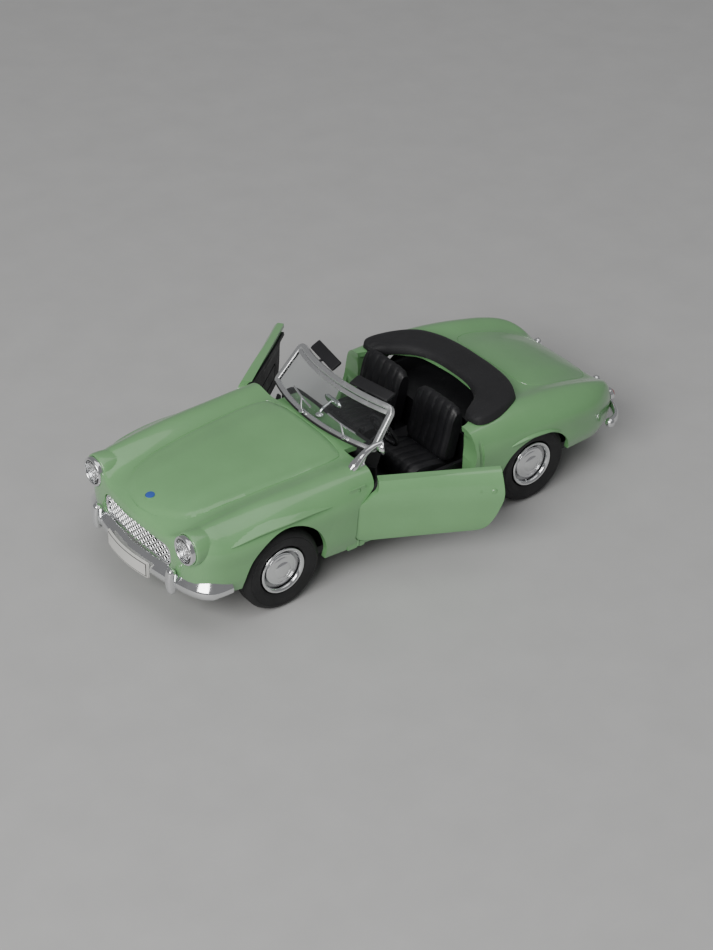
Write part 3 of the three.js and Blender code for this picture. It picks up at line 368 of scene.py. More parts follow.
# ------------------------------------------------------------------ materials
def material(name, color, rough, spread=0.06, tint=0.08, bump=(), metallic=0.0, coat=0.0, coat_rough=0.03,
             wear=None, transmission=0.0, ior=1.5, sheen=0.0):
    """A procedural finish.

    spread: how far the roughness wanders; tint: how far the colour does; bump: (scale per metre, strength)
    pairs; wear: (colour, amount) of small rubbed or dusty spots.
    """
    mat = bpy.data.materials.new(name)
    mat.use_nodes = True
    nodes, links = mat.node_tree.nodes, mat.node_tree.links
    shader = nodes["Principled BSDF"]
    place_at = nodes.new("ShaderNodeTexCoord").outputs["Object"]

    def noise(scale, detail=4.0, roughness=0.55):
        node = nodes.new("ShaderNodeTexNoise")
        node.inputs["Scale"].default_value = scale
        node.inputs["Detail"].default_value = detail
        node.inputs["Roughness"].default_value = roughness
        links.new(place_at, node.inputs["Vector"])
        return node.outputs["Fac"]

    def ramp(source, low, high, start=0.3, end=0.7):
        node = nodes.new("ShaderNodeMapRange")
        node.inputs["From Min"].default_value = start
        node.inputs["From Max"].default_value = end
        node.inputs["To Min"].default_value = low
        node.inputs["To Max"].default_value = high
        links.new(source, node.inputs["Value"])
        return node.outputs["Result"]

    def mix(fac, a, b):
        node = nodes.new("ShaderNodeMix")
        node.data_type = "RGBA"
        links.new(fac, node.inputs[0])
        for socket, value in ((node.inputs[6], a), (node.inputs[7], b)):
            if isinstance(value, tuple):
                socket.default_value = (*value, 1)
            else:
                links.new(value, socket)
        return node.outputs[2]

    dark = tuple(c * (1 - tint) for c in color)
    light = tuple(min(1, c * (1 + tint)) for c in color)
    shade = mix(ramp(noise(85, 5), 0, 1), dark, light)
    rough_out = ramp(noise(420, 6), max(rough - spread, 0.02), min(rough + spread, 1))
    if wear:
        spots = ramp(noise(900, 8, 0.7), 0, wear[1], 0.62, 0.78)
        shade = mix(spots, shade, wear[0])
        lift = nodes.new("ShaderNodeMath")
        lift.operation = "MULTIPLY_ADD"
        links.new(spots, lift.inputs[0])
        lift.inputs[1].default_value = 0.25
        links.new(rough_out, lift.inputs[2])
        rough_out = lift.outputs[0]
    links.new(shade, shader.inputs["Base Color"])
    links.new(rough_out, shader.inputs["Roughness"])
    shader.inputs["Metallic"].default_value = metallic
    shader.inputs["IOR"].default_value = ior
    shader.inputs["Coat Weight"].default_value = coat
    shader.inputs["Coat Roughness"].default_value = coat_rough
    shader.inputs["Transmission Weight"].default_value = transmission
    shader.inputs["Sheen Weight"].default_value = sheen
    normal = None
    for scale, strength in bump:
        node = nodes.new("ShaderNodeBump")
        node.inputs["Strength"].default_value = strength
        node.inputs["Distance"].default_value = 0.0001
        links.new(noise(scale, 3), node.inputs["Height"])
        if normal:
            links.new(normal, node.inputs["Normal"])
        normal = node.outputs["Normal"]
    if normal:
        links.new(normal, shader.inputs["Normal"])
    return mat


PAINT = material("green_enamel", (0.185, 0.415, 0.175), 0.34, 0.05, 0.05, ((650, 0.08), (5200, 0.04)),
                 coat=0.9, coat_rough=0.06, wear=((0.28, 0.48, 0.24), 0.3))
CHROME = material("plated_trim", (0.86, 0.87, 0.88), 0.12, 0.05, 0.06, ((900, 0.08), (4200, 0.04)),
                  metallic=1.0, wear=((0.55, 0.55, 0.56), 0.5))
FRAME_METAL = material("screen_frame_metal", (0.70, 0.71, 0.72), 0.24, 0.07, 0.08, ((1200, 0.05),),
                       metallic=0.9, wear=((0.42, 0.42, 0.43), 0.5))
BLACK = material("moulded_black", (0.012, 0.012, 0.014), 0.52, 0.09, 0.25, ((2600, 0.3), (9000, 0.25)),
                 wear=((0.05, 0.05, 0.052), 0.45))
SEAT_BLACK = material("seat_black", (0.010, 0.010, 0.012), 0.48, 0.08, 0.25, ((1800, 0.35), (7000, 0.25)),
                      wear=((0.035, 0.035, 0.037), 0.3))
TOP_BLACK = material("soft_top_black", (0.011, 0.011, 0.013), 0.66, 0.08, 0.25, ((3200, 0.5), (11000, 0.4)),
                     wear=((0.04, 0.04, 0.042), 0.35), sheen=0.03)
RUBBER = material("tyre_rubber", (0.013, 0.013, 0.014), 0.62, 0.09, 0.3, ((2400, 0.35), (8000, 0.3)),
                  wear=((0.05, 0.048, 0.045), 0.5))
GLASS = material("clear_plastic", (0.93, 0.96, 0.96), 0.05, 0.03, 0.02, ((300, 0.05),), transmission=1.0,
                 ior=1.49)
LENS = material("lamp_lens", (0.95, 0.96, 0.97), 0.05, 0.03, 0.02, ((1500, 0.1),), transmission=1.0, ior=1.49)
RED = material("red_lens", (0.42, 0.015, 0.012), 0.16, 0.06, 0.15, ((1500, 0.1),), coat=0.5)
PLATE = material("pale_plate", (0.70, 0.70, 0.67), 0.38, 0.08, 0.06, ((2500, 0.12),),
                 wear=((0.45, 0.45, 0.43), 0.5))
PLATE_INK = material("plate_border", (0.03, 0.03, 0.032), 0.45, 0.08, 0.2, ((2500, 0.12),))
STEEL = material("drawn_steel", (0.50, 0.50, 0.51), 0.34, 0.08, 0.12, ((3500, 0.25),), metallic=1.0,
                 wear=((0.30, 0.29, 0.28), 0.5))
ENAMEL = material("blue_dot", (0.035, 0.10, 0.42), 0.22, 0.06, 0.2, ((2500, 0.1),), coat=0.6)
# Flat near-black painted shade, set in hollows and gaps where shade falls: the lamp centres, behind the
# grille mesh, and the stays and slots of the front bumper.
HOLLOW_SHADE = material("painted_hollow_shade", (0.008, 0.008, 0.009), 0.7, 0.1, 0.3, ((4000, 0.3),))


# ------------------------------------------------------------------ body surface
def section(x, offset=0.0, fine=88):
    """Half sections of the body at the places x: (n, fine + 1, 2) from the top centre to the sill."""
    x = np.atleast_1d(np.asarray(x, float))
    centre, crown_y, crown_z, half, sill = (through(x, c) for c in range(1, 6))
    valley = np.minimum(centre, crown_z) - 0.55 * smoothstep(half, 16, 22)
    wide = half - crown_y
    knots = np.array([
        [0 * x, centre], [0.36 * crown_y, centre - 0.12], [0.74 * crown_y, valley], [crown_y, crown_z],
        [crown_y + 0.55 * wide, crown_z - 0.24 * wide], [half - 0.05, crown_z - 0.3 * (crown_z - sill)],
        [half, sill + 0.42 * (crown_z - sill)], [half - 0.25, sill + 0.18 * (crown_z - sill)],
        [half - 1.1, sill],
    ]).transpose(0, 2, 1)
    points = spline(knots, fine + 1, start=knots[1] * [-1, 1]).transpose(1, 0, 2)
    if np.any(offset):
        step = np.gradient(points, axis=1)
        step[:, 0] = [1, 0]
        step /= np.linalg.norm(step, axis=2, keepdims=True)
        d = np.broadcast_to(offset, x.shape)[:, None]
        moved = np.maximum(points[..., 0] + d * step[..., 1], 0)
        points = np.stack([moved, points[..., 1] - d * step[..., 0]], 2)
    return points


def top_z(x, y):
    """Height of the body's upper surface at (x, y)."""
    x, y = np.broadcast_arrays(np.asarray(x, float), np.abs(np.asarray(y, float)))
    out = np.empty(x.size)
    for i, (a, b) in enumerate(zip(x.ravel(), y.ravel())):
        half = section([a])[0]
        top = half[: int(np.argmax(half[:, 0])) + 1]
        out[i] = np.interp(b, top[:, 0], top[:, 1])
    return out.reshape(x.shape)


def mirrored_line(half):
    half = np.asarray(half, float)
    other = half[::-1] * [1, -1]
    other = other[np.abs(other[:, 1]) > 1e-9]
    return np.concatenate([half, other])


BONNET = np.array([[57.0, 0], [56.5, 3.4], [55.2, 6.9], [53.2, 9.7], [49.5, 11.4], [41.6, 12.5], [34.0, 13.2],
                   [26.0, 13.7], [18.2, 13.7], [15.9, 12.9], [15.2, 10.4], [14.9, 5.0], [14.8, 0]])
BOOT = np.array([[-34.6, 0], [-34.8, 7.0], [-35.8, 11.6], [-38.5, 13.2], [-47.0, 13.0], [-53.5, 11.4],
                 [-56.0, 8.0], [-56.9, 0]])
bonnet_line = mirrored_line(spline(BONNET, 90))
boot_line = mirrored_line(spline(BOOT, 80))


def nose_bend(x, y):
    """How far the nose is drawn back away from the centre plane."""
    return 1.1 * smoothstep(x, 44, 57) * smoothstep(np.abs(y), 0, 15)


def body_solid(name, offset=0.0, front=FRONT_END, rear=REAR_END, floor=None, step=0.6, fine=88, relief=False,
               nose=0.0, mat=None):
    """Closed solid of the body shape, moved inward by offset."""
    ends = 0.9 * nose
    xs = np.arange(rear + ends, front - ends, step)
    if nose:
        bend = np.linspace(0, 1, 7)[:-1] ** 1.6
        xs = np.concatenate([rear + ends * bend, xs, (front - ends * bend)[::-1]])
    else:
        xs = np.append(xs, front)
    extra = np.zeros(len(xs))
    if nose:
        extra = np.where(xs > 0, rolled(front - xs, nose), rolled(xs - rear, nose))
    half = section(xs, offset + extra, fine)
    flat = np.concatenate([np.repeat(xs, half.shape[1])[:, None], half.reshape(-1, 2)], 1)
    if relief:
        up = np.clip((flat[:, 2] - 17.5) / 2.5, 0, 1) * (flat[:, 1] < 16.5)
        for line, lift in ((bonnet_line, 0.34), (boot_line, 0.08)):
            near, inside = line_distance(flat[:, :2], line)
            raised = inside * (lift * smoothstep(near, 0.0, 1.1) + 0.5 * lift * smoothstep(near, 1.0, 7.0))
            flat[:, 2] += up * raised
        flat[:, 0] -= nose_bend(flat[:, 0], flat[:, 1])
    half = flat.reshape(len(xs), -1, 3)
    if floor is not None:
        foot = half[:, -1:].copy()
        foot[..., 2] = floor
        half = np.concatenate([half, foot], 1)
    other = half[:, 1:][:, ::-1] * [1, -1, 1]
    return closed_grid(name, np.concatenate([half, other], 1), mat)


def door_outline(grow):
    """Side view of a door, with rounded corners."""
    length = DOOR_LENGTH
    corners = np.array([
        [DOOR_ROLL_R, DOOR_BOTTOM], [-(length - 4.0), DOOR_BOTTOM + 0.2], [-(length - 1.7), 12.9],
        [-length, 17.5], [-(length - 0.4), 21.5], [-(length - 1.4), 28.0], [-4.4, 28.0], [-4.2, 21.9],
        [-3.8, 20.9], [DOOR_ROLL_R, 17.8]])
    mid = (-length / 2, 17)
    out = []
    for s, z in corners:
        up = 0 if z > 27 or abs(z - mid[1]) < 3 else math.copysign(grow, z - mid[1])
        along = grow if s > 0 else math.copysign(grow, s - mid[0])
        out.append((HINGE_X + s + along, z + up))
    return round_corners(out, [3.4, 2.6, 3.0, 3.0, 2.0, 0.5, 0.5, 0.4, 0.5, 1.8])


def round_corners(points, radii, count=7):
    """A closed outline whose corners are eased over the given lengths."""
    points = np.asarray(points, float)
    n = len(points)
    radii = [radii] * n if np.isscalar(radii) else radii
    out = []
    for i, (p, r) in enumerate(zip(points, radii)):
        a, b = points[i - 1], points[(i + 1) % n]
        la, lb = np.linalg.norm(a - p), np.linalg.norm(b - p)
        r = min(r, 0.48 * la, 0.48 * lb)
        start, end = p + (a - p) / la * r, p + (b - p) / lb * r
        for t in np.linspace(0, 1, count):
            out.append((1 - t) ** 2 * start + 2 * t * (1 - t) * p + t * t * end)
    return np.array(out)


def door_block(name, grow):
    return prism(name, door_outline(grow), 11.9, 30, "xz")


def both(maker):
    """The tool and its mirror image."""
    tool = maker("tool_left")
    return [tool, mirror_copy(tool, "tool_right")]


def ahead(name, radius):
    tool = block(name, (HINGE_X, 11.9, 0), (HINGE_X + 8, 30, 40))
    roll = lathe(name + "_roll", [(0, -1), (radius, -1), (radius, 41), (0, 41)], (HINGE_X, HINGE_Y, 0),
                 (0, 0, 1), sides=64)
    return boolean(tool, [roll])


def cylinder(name, a, b, radius, sides=64):
    a, b = np.asarray(a, float), np.asarray(b, float)
    span = np.linalg.norm(b - a)
    return lathe(name, [(0, 0), (radius, 0), (radius, span), (0, span)], a, b - a, sides=sides)


def arch_tool(x, half_length, height):
    def maker(name):
        a = np.linspace(0, math.pi, 61)
        outline = np.stack([x + half_length * np.cos(a), AXLE_Z + height * np.sin(a)], 1)
        outline = np.concatenate([outline, [[x - half_length - 0.3, 0], [x + half_length + 0.3, 0]]])
        return prism(name, outline, WHEEL_FACE - 4, 30, "xz")
    return maker


def well_tool(x, reach):
    def maker(name):
        return cylinder(name, (x, WHEEL_FACE - TYRE_W - 1.4, AXLE_Z), (x, reach, AXLE_Z), TYRE_R + 0.9, 96)
    return maker


def groove(name, line, width, depth):
    """A round-bottomed groove tool lying along a closed line on the upper surface."""
    z = top_z(line[:, 0], line[:, 1])
    path = np.column_stack([line, z + 0.28 - depth])
    return sweep(name, path, oval(width, 0.56, 10), loop=True)


def side_y(x, z):
    """Half width of the body's side at (x, z)."""
    half = section([x])[0]
    low = half[::-1]
    stop = int(np.argmax(low[:, 1] > z + 1.5)) or len(low)
    return float(np.interp(z, low[:stop, 1], low[:stop, 0]))


def brow(points, thick, reach):
    """Blade over a wheel arch that grows out of the body and fades back into it."""
    def maker(name):
        line = spline(points, 49)
        t = np.linspace(0, 1, 49)
        swell = np.sin(math.pi * (0.02 + 0.96 * t)) ** 0.55
        rings = []
        for (x, z), k in zip(line, swell):
            y = side_y(x, z)
            tip, h = y - 0.12 + reach * k, max(thick * k, 0.12)
            shape = round_corners([(20.2, z - 0.1), (tip, z), (tip + 0.02, z + 0.35 * h),
                                   (y - 0.3, z + 0.8 * h), (y - 1.3, z + 1.5 * h), (20.2, z + 1.5 * h)],
                                  [0.05, 0.18 * h, 0.3 * h, 0.9, 0.5, 0.05], 5)
            rings.append([(x, a, b) for a, b in shape])
        return closed_grid(name, rings)
    return maker


FRONT_BROW = [[49.6, 20.5], [46.3, 21.0], [42.0, 21.4], [36.0, 21.5], [30.0, 21.4], [25.2, 21.0]]
REAR_BROW = [[-22.2, 17.5], [-25.0, 18.0], [-29.0, 18.1], [-33.5, 17.5], [-36.6, 16.3]]
LAMP = np.array([56.9, 17.05, 20.1])
LAMP_POCKET, LAMP_FLOOR, LAMP_GROWTH = 3.25, 54.6, 1.07


def lamp_pod(name):
    profile = [(0, -9), (1.8, -9), (3.0, -6.6), (3.52, -3.6), (3.68, -1.6), (3.66, -0.6), (3.56, -0.15),
               (3.42, 0), (0, 0)]
    points = np.array(profile)
    smooth = spline(points[1:-1], 40)
    profile = np.concatenate([points[:1], smooth, points[-1:]])
    return lathe(name, profile, LAMP + [-0.5, 0, 0], (1, 0, 0), sides=72)


body = body_solid("body_shell_skin", relief=True, nose=0.55, mat=PAINT)
hollow = body_solid("hollow", WALL, FRONT_END - 4.9, REAR_END + 4.2, floor=2, step=2.5, fine=30)
boolean(body, both(lamp_pod) + both(brow(FRONT_BROW, 0.95, 0.85)) + both(brow(REAR_BROW, 0.85, 0.8)), "UNION")
boolean(body, [hollow])


def pin_sockets(name):
    parts = []
    for low, high in ((7.7, DOOR_BOTTOM - 0.3), (21.2, 22.6)):
        parts.append(block(name, (HINGE_X - 1.6, 20.4, low), (HINGE_X + 2.6, 22.6, high)))
    return joined(name, parts)


posts = [cylinder("post", (x, 0, TUB_FLOOR), (x, 0, 20.0 if x > 0 else 16.5), SCREW_POST_R, 40)
         for x in SCREW_XS]


def jamb(name):
    """The post that a closed door's rear edge comes up to."""
    post = round_corners([(-17.4, 18.6), (-12.6, 18.6), (-12.6, 24), (-17.4, 24)], 0.6)
    return boolean(prism(name, post, BASE_TOP + 0.3, 23.6, "xy"),
                   [body_solid("limit", 0.05, -8, -24, step=1.0, fine=60)], "INTERSECT")


boolean(body, both(pin_sockets) + both(jamb) + posts, "UNION")
cockpit = round_corners(mirrored_line([[9.6, 0], [9.0, 9], [6.4, 17.4], [5.0, 18.3], [-13.6, 18.3],
                                       [-16.5, 16.4], [-20.6, 14.6], [-24.2, 11.0], [-25.0, 0]]), 1.5)
tools = [prism("cockpit", cockpit, 18, 40, "xy")]
door_tools = both(lambda name: boolean(door_block(name, 0.3), [ahead("ahead", DOOR_ROLL_R + 0.3)]))
tools += door_tools
tools += both(arch_tool(FRONT_AXLE_X, 10.2, 11.4)) + both(arch_tool(REAR_AXLE_X, 9.9, 8.4))
tools += both(well_tool(FRONT_AXLE_X, 24.6)) + both(well_tool(REAR_AXLE_X, WHEEL_FACE + 0.45))
tools += both(lambda name: cylinder(name, (LAMP_FLOOR, *LAMP[1:]), (66, *LAMP[1:]), LAMP_POCKET))


def mouth(half, z0, z1, r):
    return round_corners([(half, z0), (half, z1), (-half, z1), (-half, z0)], r, 9)


tools += both(lambda name: cylinder(name, (-14.7, 23.3, 12.0), (-14.1, 22.9, 22.6), 0.62, 32))
tools.append(prism("mouth", mouth(12.4, 12.7, 18.1, 2.5), 56.0, 64, "yz"))
tools.append(groove("bonnet_groove", bonnet_line, 0.36, 0.13))
tools.append(groove("boot_groove", boot_line, 0.30, 0.11))
tools += [cylinder("bore", (x, 0, 0), (x, 0, BASE_TOP + 5.5), SCREW_BORE_R, 24) for x in SCREW_XS]
tools += both(lambda name: cylinder(name, (HINGE_X, HINGE_Y, 7), (HINGE_X, HINGE_Y, PIN_TOP), 0.44, 24))
boolean(body, tools, sharp=34)
place(body, CAR, "body_shell", "green_paint")


# ------------------------------------------------------------------ doors
def swing(obj, side, degrees):
    """Turns a closed door about its pin."""
    s = 1 if side == "left" else -1
    pin = Vector(((HINGE_X + OFFSET[0]) * MM, (s * HINGE_Y + OFFSET[1]) * MM, 0))
    turn = Matrix.Rotation(math.radians(-s * degrees), 4, "Z")
    obj.data.transform(Matrix.Translation(pin) @ turn @ Matrix.Translation(-pin))
    return obj


skin = body_solid("left_door_skin", step=0.5, fine=100, mat=PAINT, front=22, rear=-16)
boolean(skin, [body_solid("thick", DOOR_THICK, 24, -18, floor=-2, step=1.5, fine=44)])
roll = cylinder("roll", (HINGE_X, HINGE_Y, DOOR_BOTTOM), (HINGE_X, HINGE_Y, 20.7), DOOR_ROLL_R, 64)
boolean(roll, [body_solid("limit", 0.08, step=0.7, fine=90, front=24, rear=10)], "INTERSECT")
boolean(skin, [roll], "UNION")
boolean(skin, [boolean(door_block("shape", 0), [ahead("ahead", DOOR_ROLL_R)])], "INTERSECT")
boolean(skin, [block("rim", (-40, 19.6, 0), (40, 40, 23.2))], "INTERSECT")
button_y = side_y(-10.4, 19.2)
button = lathe("button", [(0, -0.4), (0.62, -0.4), (0.6, 0.1), (0.45, 0.22), (0, 0.24)],
               (-10.4, button_y, 19.2), (0, 1, 0), sides=32)
key = lathe("key", [(0, -0.4), (0.26, -0.4), (0.26, 0.08), (0, 0.12)], (-7.6, side_y(-7.6, 19.3), 19.3),
            (0, 1, 0), sides=24)
boolean(skin, [button, key], "UNION")
boolean(skin, [cylinder("pin", (HINGE_X, HINGE_Y, 0), (HINGE_X, HINGE_Y, 40), 0.47, 24)], sharp=34)
right_skin = mirror_copy(skin, "right_door_skin")

card_line = round_corners([(15.4, 10.2), (-8.6, 10.3), (-10.4, 13.0), (-11.6, 17.4), (-11.2, 21.2),
                           (-10.0, 22.9), (13.4, 22.9), (15.4, 20.4)], 1.2)
card = body_solid("left_door_lining", DOOR_THICK + 0.3, 24, -18, floor=-2, step=1.0, fine=60, mat=BLACK)
boolean(card, [body_solid("thin", DOOR_THICK + 0.3 + CARD_THICK, 26, -20, floor=-4, step=1.5, fine=44)])
boolean(card, [prism("outline", card_line, 19.2, 30, "xz")], "INTERSECT")
pocket = round_corners([(12.8, 12.0), (-6.0, 12.0), (-7.6, 15.6), (11.6, 15.6)], 1.0)
pocket_in = round_corners([(12.5, 12.3), (-5.7, 12.3), (-7.1, 15.3), (11.3, 15.3)], 0.9)
pocket_tool = prism("pocket", pocket, 19.0, 20.75, "xz")
boolean(pocket_tool, [prism("pocket_in", pocket_in, 18, 22, "xz")])
boolean(card, [pocket_tool])
boolean(card, [rod("pull", (2.0, 20.35, 19.6), (-4.5, 20.2, 19.6), 0.42)], "UNION")
right_card = mirror_copy(card, "right_door_lining")
for side, door, lining, degrees, owner in (("left", skin, card, LEFT_OPEN, LEFT_DOOR),
                                           ("right", right_skin, right_card, RIGHT_OPEN, RIGHT_DOOR)):
    place(swing(door, side, degrees), owner, f"{side}_door", "green_paint")
    place(swing(lining, side, degrees), owner, f"{side}_door_card", "black_plastic")


# ------------------------------------------------------------------ wheels
def tyre_profile():
    outer = [(RIM_R + 0.25, 0.5), (TYRE_R - 1.6, 0.02), (TYRE_R - 0.7, 0.2), (TYRE_R - 0.3, 0.6),
             (TYRE_R - 0.06, 1.1)]
    for at in (1.55, 2.5, 3.45):
        outer += [(TYRE_R, at - 0.3), (TYRE_R, at - 0.12), (TYRE_R - 0.22, at - 0.08),
                  (TYRE_R - 0.22, at + 0.08), (TYRE_R, at + 0.12), (TYRE_R, at + 0.3)]
    outer += [(TYRE_R - 0.06, TYRE_W - 1.1), (TYRE_R - 0.3, TYRE_W - 0.6), (TYRE_R - 0.7, TYRE_W - 0.2),
              (TYRE_R - 1.15, TYRE_W - 0.06), (TYRE_R - 1.25, TYRE_W - 0.12), (TYRE_R - 1.4, TYRE_W - 0.12),
              (TYRE_R - 1.5, TYRE_W - 0.02), (TYRE_R - 2.4, TYRE_W - 0.05), (TYRE_R - 3.1, TYRE_W - 0.2),
              (RIM_R + 0.45, TYRE_W - 0.42), (RIM_R + 0.27, TYRE_W - 0.55)]
    return outer


RIM = [(0.84, 0.2), (1.9, 0.2), (2.0, 1.6), (4.3, 1.9), (5.3, 0.6), (5.3, 4.55), (5.26, 4.68), (5.12, 4.79),
       (4.95, 4.8), (4.78, 4.72), (4.62, 4.55), (4.5, 4.45), (4.42, 4.2), (4.38, 3.5), (3.9, 3.28),
       (0.84, 3.2)]
DISH = [(3.76, 3.2), (4.36, 3.4), (4.36, 3.62), (4.1, 3.46), (3.76, 3.4)]
HUB = [(0, 3.5), (3.35, 3.5), (3.62, 3.62), (3.72, 3.8), (3.7, 3.95), (3.55, 4.12), (3.3, 4.22),
       (3.12, 4.2), (3.0, 4.26), (2.6, 4.42), (2.1, 4.52), (1.95, 4.5), (1.85, 4.58), (1.5, 4.76),
       (1.0, 4.9), (0.5, 4.97), (0, 5.0)]
for end, x in (("front", FRONT_AXLE_X), ("rear", REAR_AXLE_X)):
    for side, s in (("left", 1), ("right", -1)):
        at, out, owner = (x, s * (WHEEL_FACE - TYRE_W), AXLE_Z), (0, s, 0), f"{end}_wheelset"
        label = f"{side}_{end}"
        place(lathe(label + "_tyre_look", tyre_profile(), at, out, RUBBER, 128, closed=True), owner,
              label + "_tyre", "rubber")
        place(lathe(label + "_rim_look", RIM, at, out, CHROME, 96, closed=True), owner, label + "_rim",
              "bright_trim")
        place(lathe(label + "_hub_look", HUB, at, out, CHROME, 96), owner, label + "_hub_cap", "bright_trim")
        place(lathe(label + "_dish_look", DISH, at, out, STEEL, 96, closed=True), owner, label + "_rim",
              "steel")


# ------------------------------------------------------------------ lamps and grille
bezel = lathe("left_lamp_rim", [(2.45, -2.0), (2.85, -2.0), (3.0, -0.4), (2.99, -0.1), (2.93, 0.12),
                                (2.82, 0.22), (2.68, 0.26), (2.56, 0.22), (2.46, 0.08), (2.42, -0.1),
                                (2.45, -0.5)], LAMP, (1, 0, 0), CHROME, 72, closed=True)
dish = lathe("left_lamp_dish", [(0, -1.9), (2.3, -1.9), (2.3, -0.5), (2.22, -0.5), (2.0, -1.0), (1.5, -1.45),
                                (0.8, -1.7), (0.45, -1.74), (0.42, -1.2), (0.3, -1.05), (0, -1.0)],
             LAMP, (1, 0, 0), CHROME, 72)
# The lamp's dark centre is painted shade in the middle of the chrome reflector.
eye_shade = lathe("left_lamp_eye", [(0, -1.0), (0.5, -1.02), (0.62, -0.9), (0.5, -0.75), (0, -0.7)], LAMP,
            (1, 0, 0), HOLLOW_SHADE, 40)


def lens_profile():
    r = np.linspace(0, 2.36, 26)
    dome = 0.56 - 0.60 * (r / 2.36) ** 2 + 0.018 * np.cos(r * 11)
    return [(0, -0.35), (2.36, -0.42)] + [(a, b) for a, b in zip(r[::-1], dome[::-1])]


lens = lathe("left_lamp_glass", lens_profile(), LAMP, (1, 0, 0), LENS, 72)
lamp_at = Vector((LAMP + OFFSET) * MM)
for piece, node, slot in ((bezel, "headlight_bezel", "bright_trim"), (dish, "headlight_lens", "bright_trim"),
                          (eye_shade, "headlight_lens", "bright_trim"), (lens, "headlight_lens", "lens")):
    grown = Matrix.Translation(lamp_at) @ Matrix.Scale(LAMP_GROWTH, 4) @ Matrix.Translation(-lamp_at)
    piece.data.transform(Matrix.Translation((0.4 * MM, 0, 0)) @ grown)
    place_pair(piece, node, slot)

GX = 57.15
ring_line = [(GX + 0.7 - nose_bend(57, y), y, z) for y, z in mouth(11.9, 13.15, 17.75, 2.1)]
frame_ring = sweep("grille_ring", ring_line, oval(0.6, 0.9, 16, 0.7), CHROME, up=(1, 0, 0), loop=True)
# The near-black sheet behind the mesh is painted shade for the depth of the grille mouth.
back = prism("grille_back_shade", mouth(11.7, 13.2, 17.6, 2.0), GX - 1.1, GX - 0.8, "yz", HOLLOW_SHADE)
bars = []
for i in range(-9, 10):
    for lean in (-2.45, 2.45):
        deep = GX + (0.62 if lean > 0 else 0.45)
        y0, y1 = i * 1.5 - lean, i * 1.5 + lean
        cuts = sorted((clip - y0) / (y1 - y0) for clip in (-11.6, 11.6))
        t0, t1 = max(cuts[0], 0), min(cuts[1], 1)
        if t1 - t0 > 0.05:
            ts = np.linspace(t0, t1, 9)
            ys = y0 + (y1 - y0) * ts
            line = np.stack([deep - nose_bend(57, ys), ys, 13.1 + 4.7 * ts], 1)
            bars.append(sweep("bar", line, oval(0.42, 0.4, 10), CHROME, up=(1, 0, 0)))
mesh = joined("grille_mesh_bars", bars)
for piece in (frame_ring, back, mesh):
    place(piece, CAR, "grille", "bright_trim")


# ------------------------------------------------------------------ bumpers, plates, tail
def whole(half):
    half = np.asarray(half, float)
    return np.concatenate([half[::-1], (half * [1, -1, 1])[1:]])


# Across (toward the car) and up. The front bar has a broad face leaning back toward the grille.
FRONT_CORNERS = [0.25, 0.5, 0.4, 0.15, 0.1, 0.2, 0.3, 0.2]
FRONT_SECTION = round_corners([(-0.75, -1.65), (-1.15, -0.7), (-1.05, 0.1), (0.35, 2.05), (0.62, 2.05),
                               (0.62, 1.6), (0.05, -0.2), (0.05, -1.65)], FRONT_CORNERS, 6)
REAR_SECTION = oval(1.25, 2.15, 28, 0.85)
FRONT_BAR = [(59.1, 0), (58.4, 7.0), (57.3, 13.6), (56.1, 18.0), (54.7, 20.5), (52.4, 21.9), (49.4, 22.1)]
REAR_BAR = [(-59.4, 0), (-59.25, 8.0), (-58.7, 14.4), (-57.2, 18.4), (-55.0, 21.2), (-52.6, 22.2)]
FRONT_BAR_Z, REAR_BAR_Z = 11.0, 11.7


def bumper(name, half, shape, z, shrink):
    path = whole(spline([(x, y, z) for x, y in half], 60))
    along = np.abs(path[:, 1]) / np.abs(path[:, 1]).max()
    return sweep(name, path, shape, CHROME, scale=1 - shrink * smoothstep(along, 0.97, 1.0), sharp=50)


def overrider(name, x, y, z0, z1):
    t = np.linspace(0, 1, 25)
    toward = 1 if x > 0 else -1
    xs = x + toward * (-0.5 * (2 * t - 1) ** 2)
    path = np.stack([xs, np.full(25, y), z0 + (z1 - z0) * t], 1)
    size = np.sqrt(np.clip(1 - (2 * np.abs(t - 0.5)) ** 8, 0.03, 1))
    return sweep(name, path, oval(2.1, 2.0, 28, 0.85), CHROME, up=(1, 0, 0), scale=size, sharp=50)


front_bars = [bumper("front_bumper_bar", FRONT_BAR, FRONT_SECTION, FRONT_BAR_Z, 0.2)]
over = overrider("front_over_left", 58.7, 13.9, 8.3, 14.3)
front_bars += [over, mirror_copy(over, "front_over_right")]
for s in (1, -1):
    # The stays and slots are near-black: painted shade for the gap under the bar and for a groove in its
    # face.
    front_bars.append(rod("front_stay", (54.6, s * 11.5, 10.2), (58.2, s * 11.5, 10.2), 0.6, HOLLOW_SHADE))
    slot = prism("front_gap_shade", round_corners([(55.9, s * 15.2), (57.6, s * 15.0), (57.2, s * 16.6),
                                             (56.0, s * 16.4)], 0.3, 5), 10.8, 11.75, "xy", HOLLOW_SHADE)
    front_bars.append(slot)
for piece in front_bars:
    place(piece, CAR, "front_bumper", "bright_trim")
over = overrider("rear_over_left", -59.3, 10.1, 8.6, 15.5)
ball = lathe("rear_end_left", [(0, -1.1), (0.5, -1.0), (0.85, -0.7), (1.08, -0.2), (1.1, 0.15), (0.95, 0.6),
                               (0.6, 0.95), (0, 1.1)], (-52.6, 22.2, REAR_BAR_Z), (1, 0.35, 0), CHROME, 48)
rear_bars = [bumper("rear_bumper_bar", REAR_BAR, REAR_SECTION, REAR_BAR_Z, 0.0), over, ball,
             mirror_copy(over, "rear_over_right"), mirror_copy(ball, "rear_end_right")]
for piece in rear_bars:
    place(piece, CAR, "rear_bumper", "bright_trim")


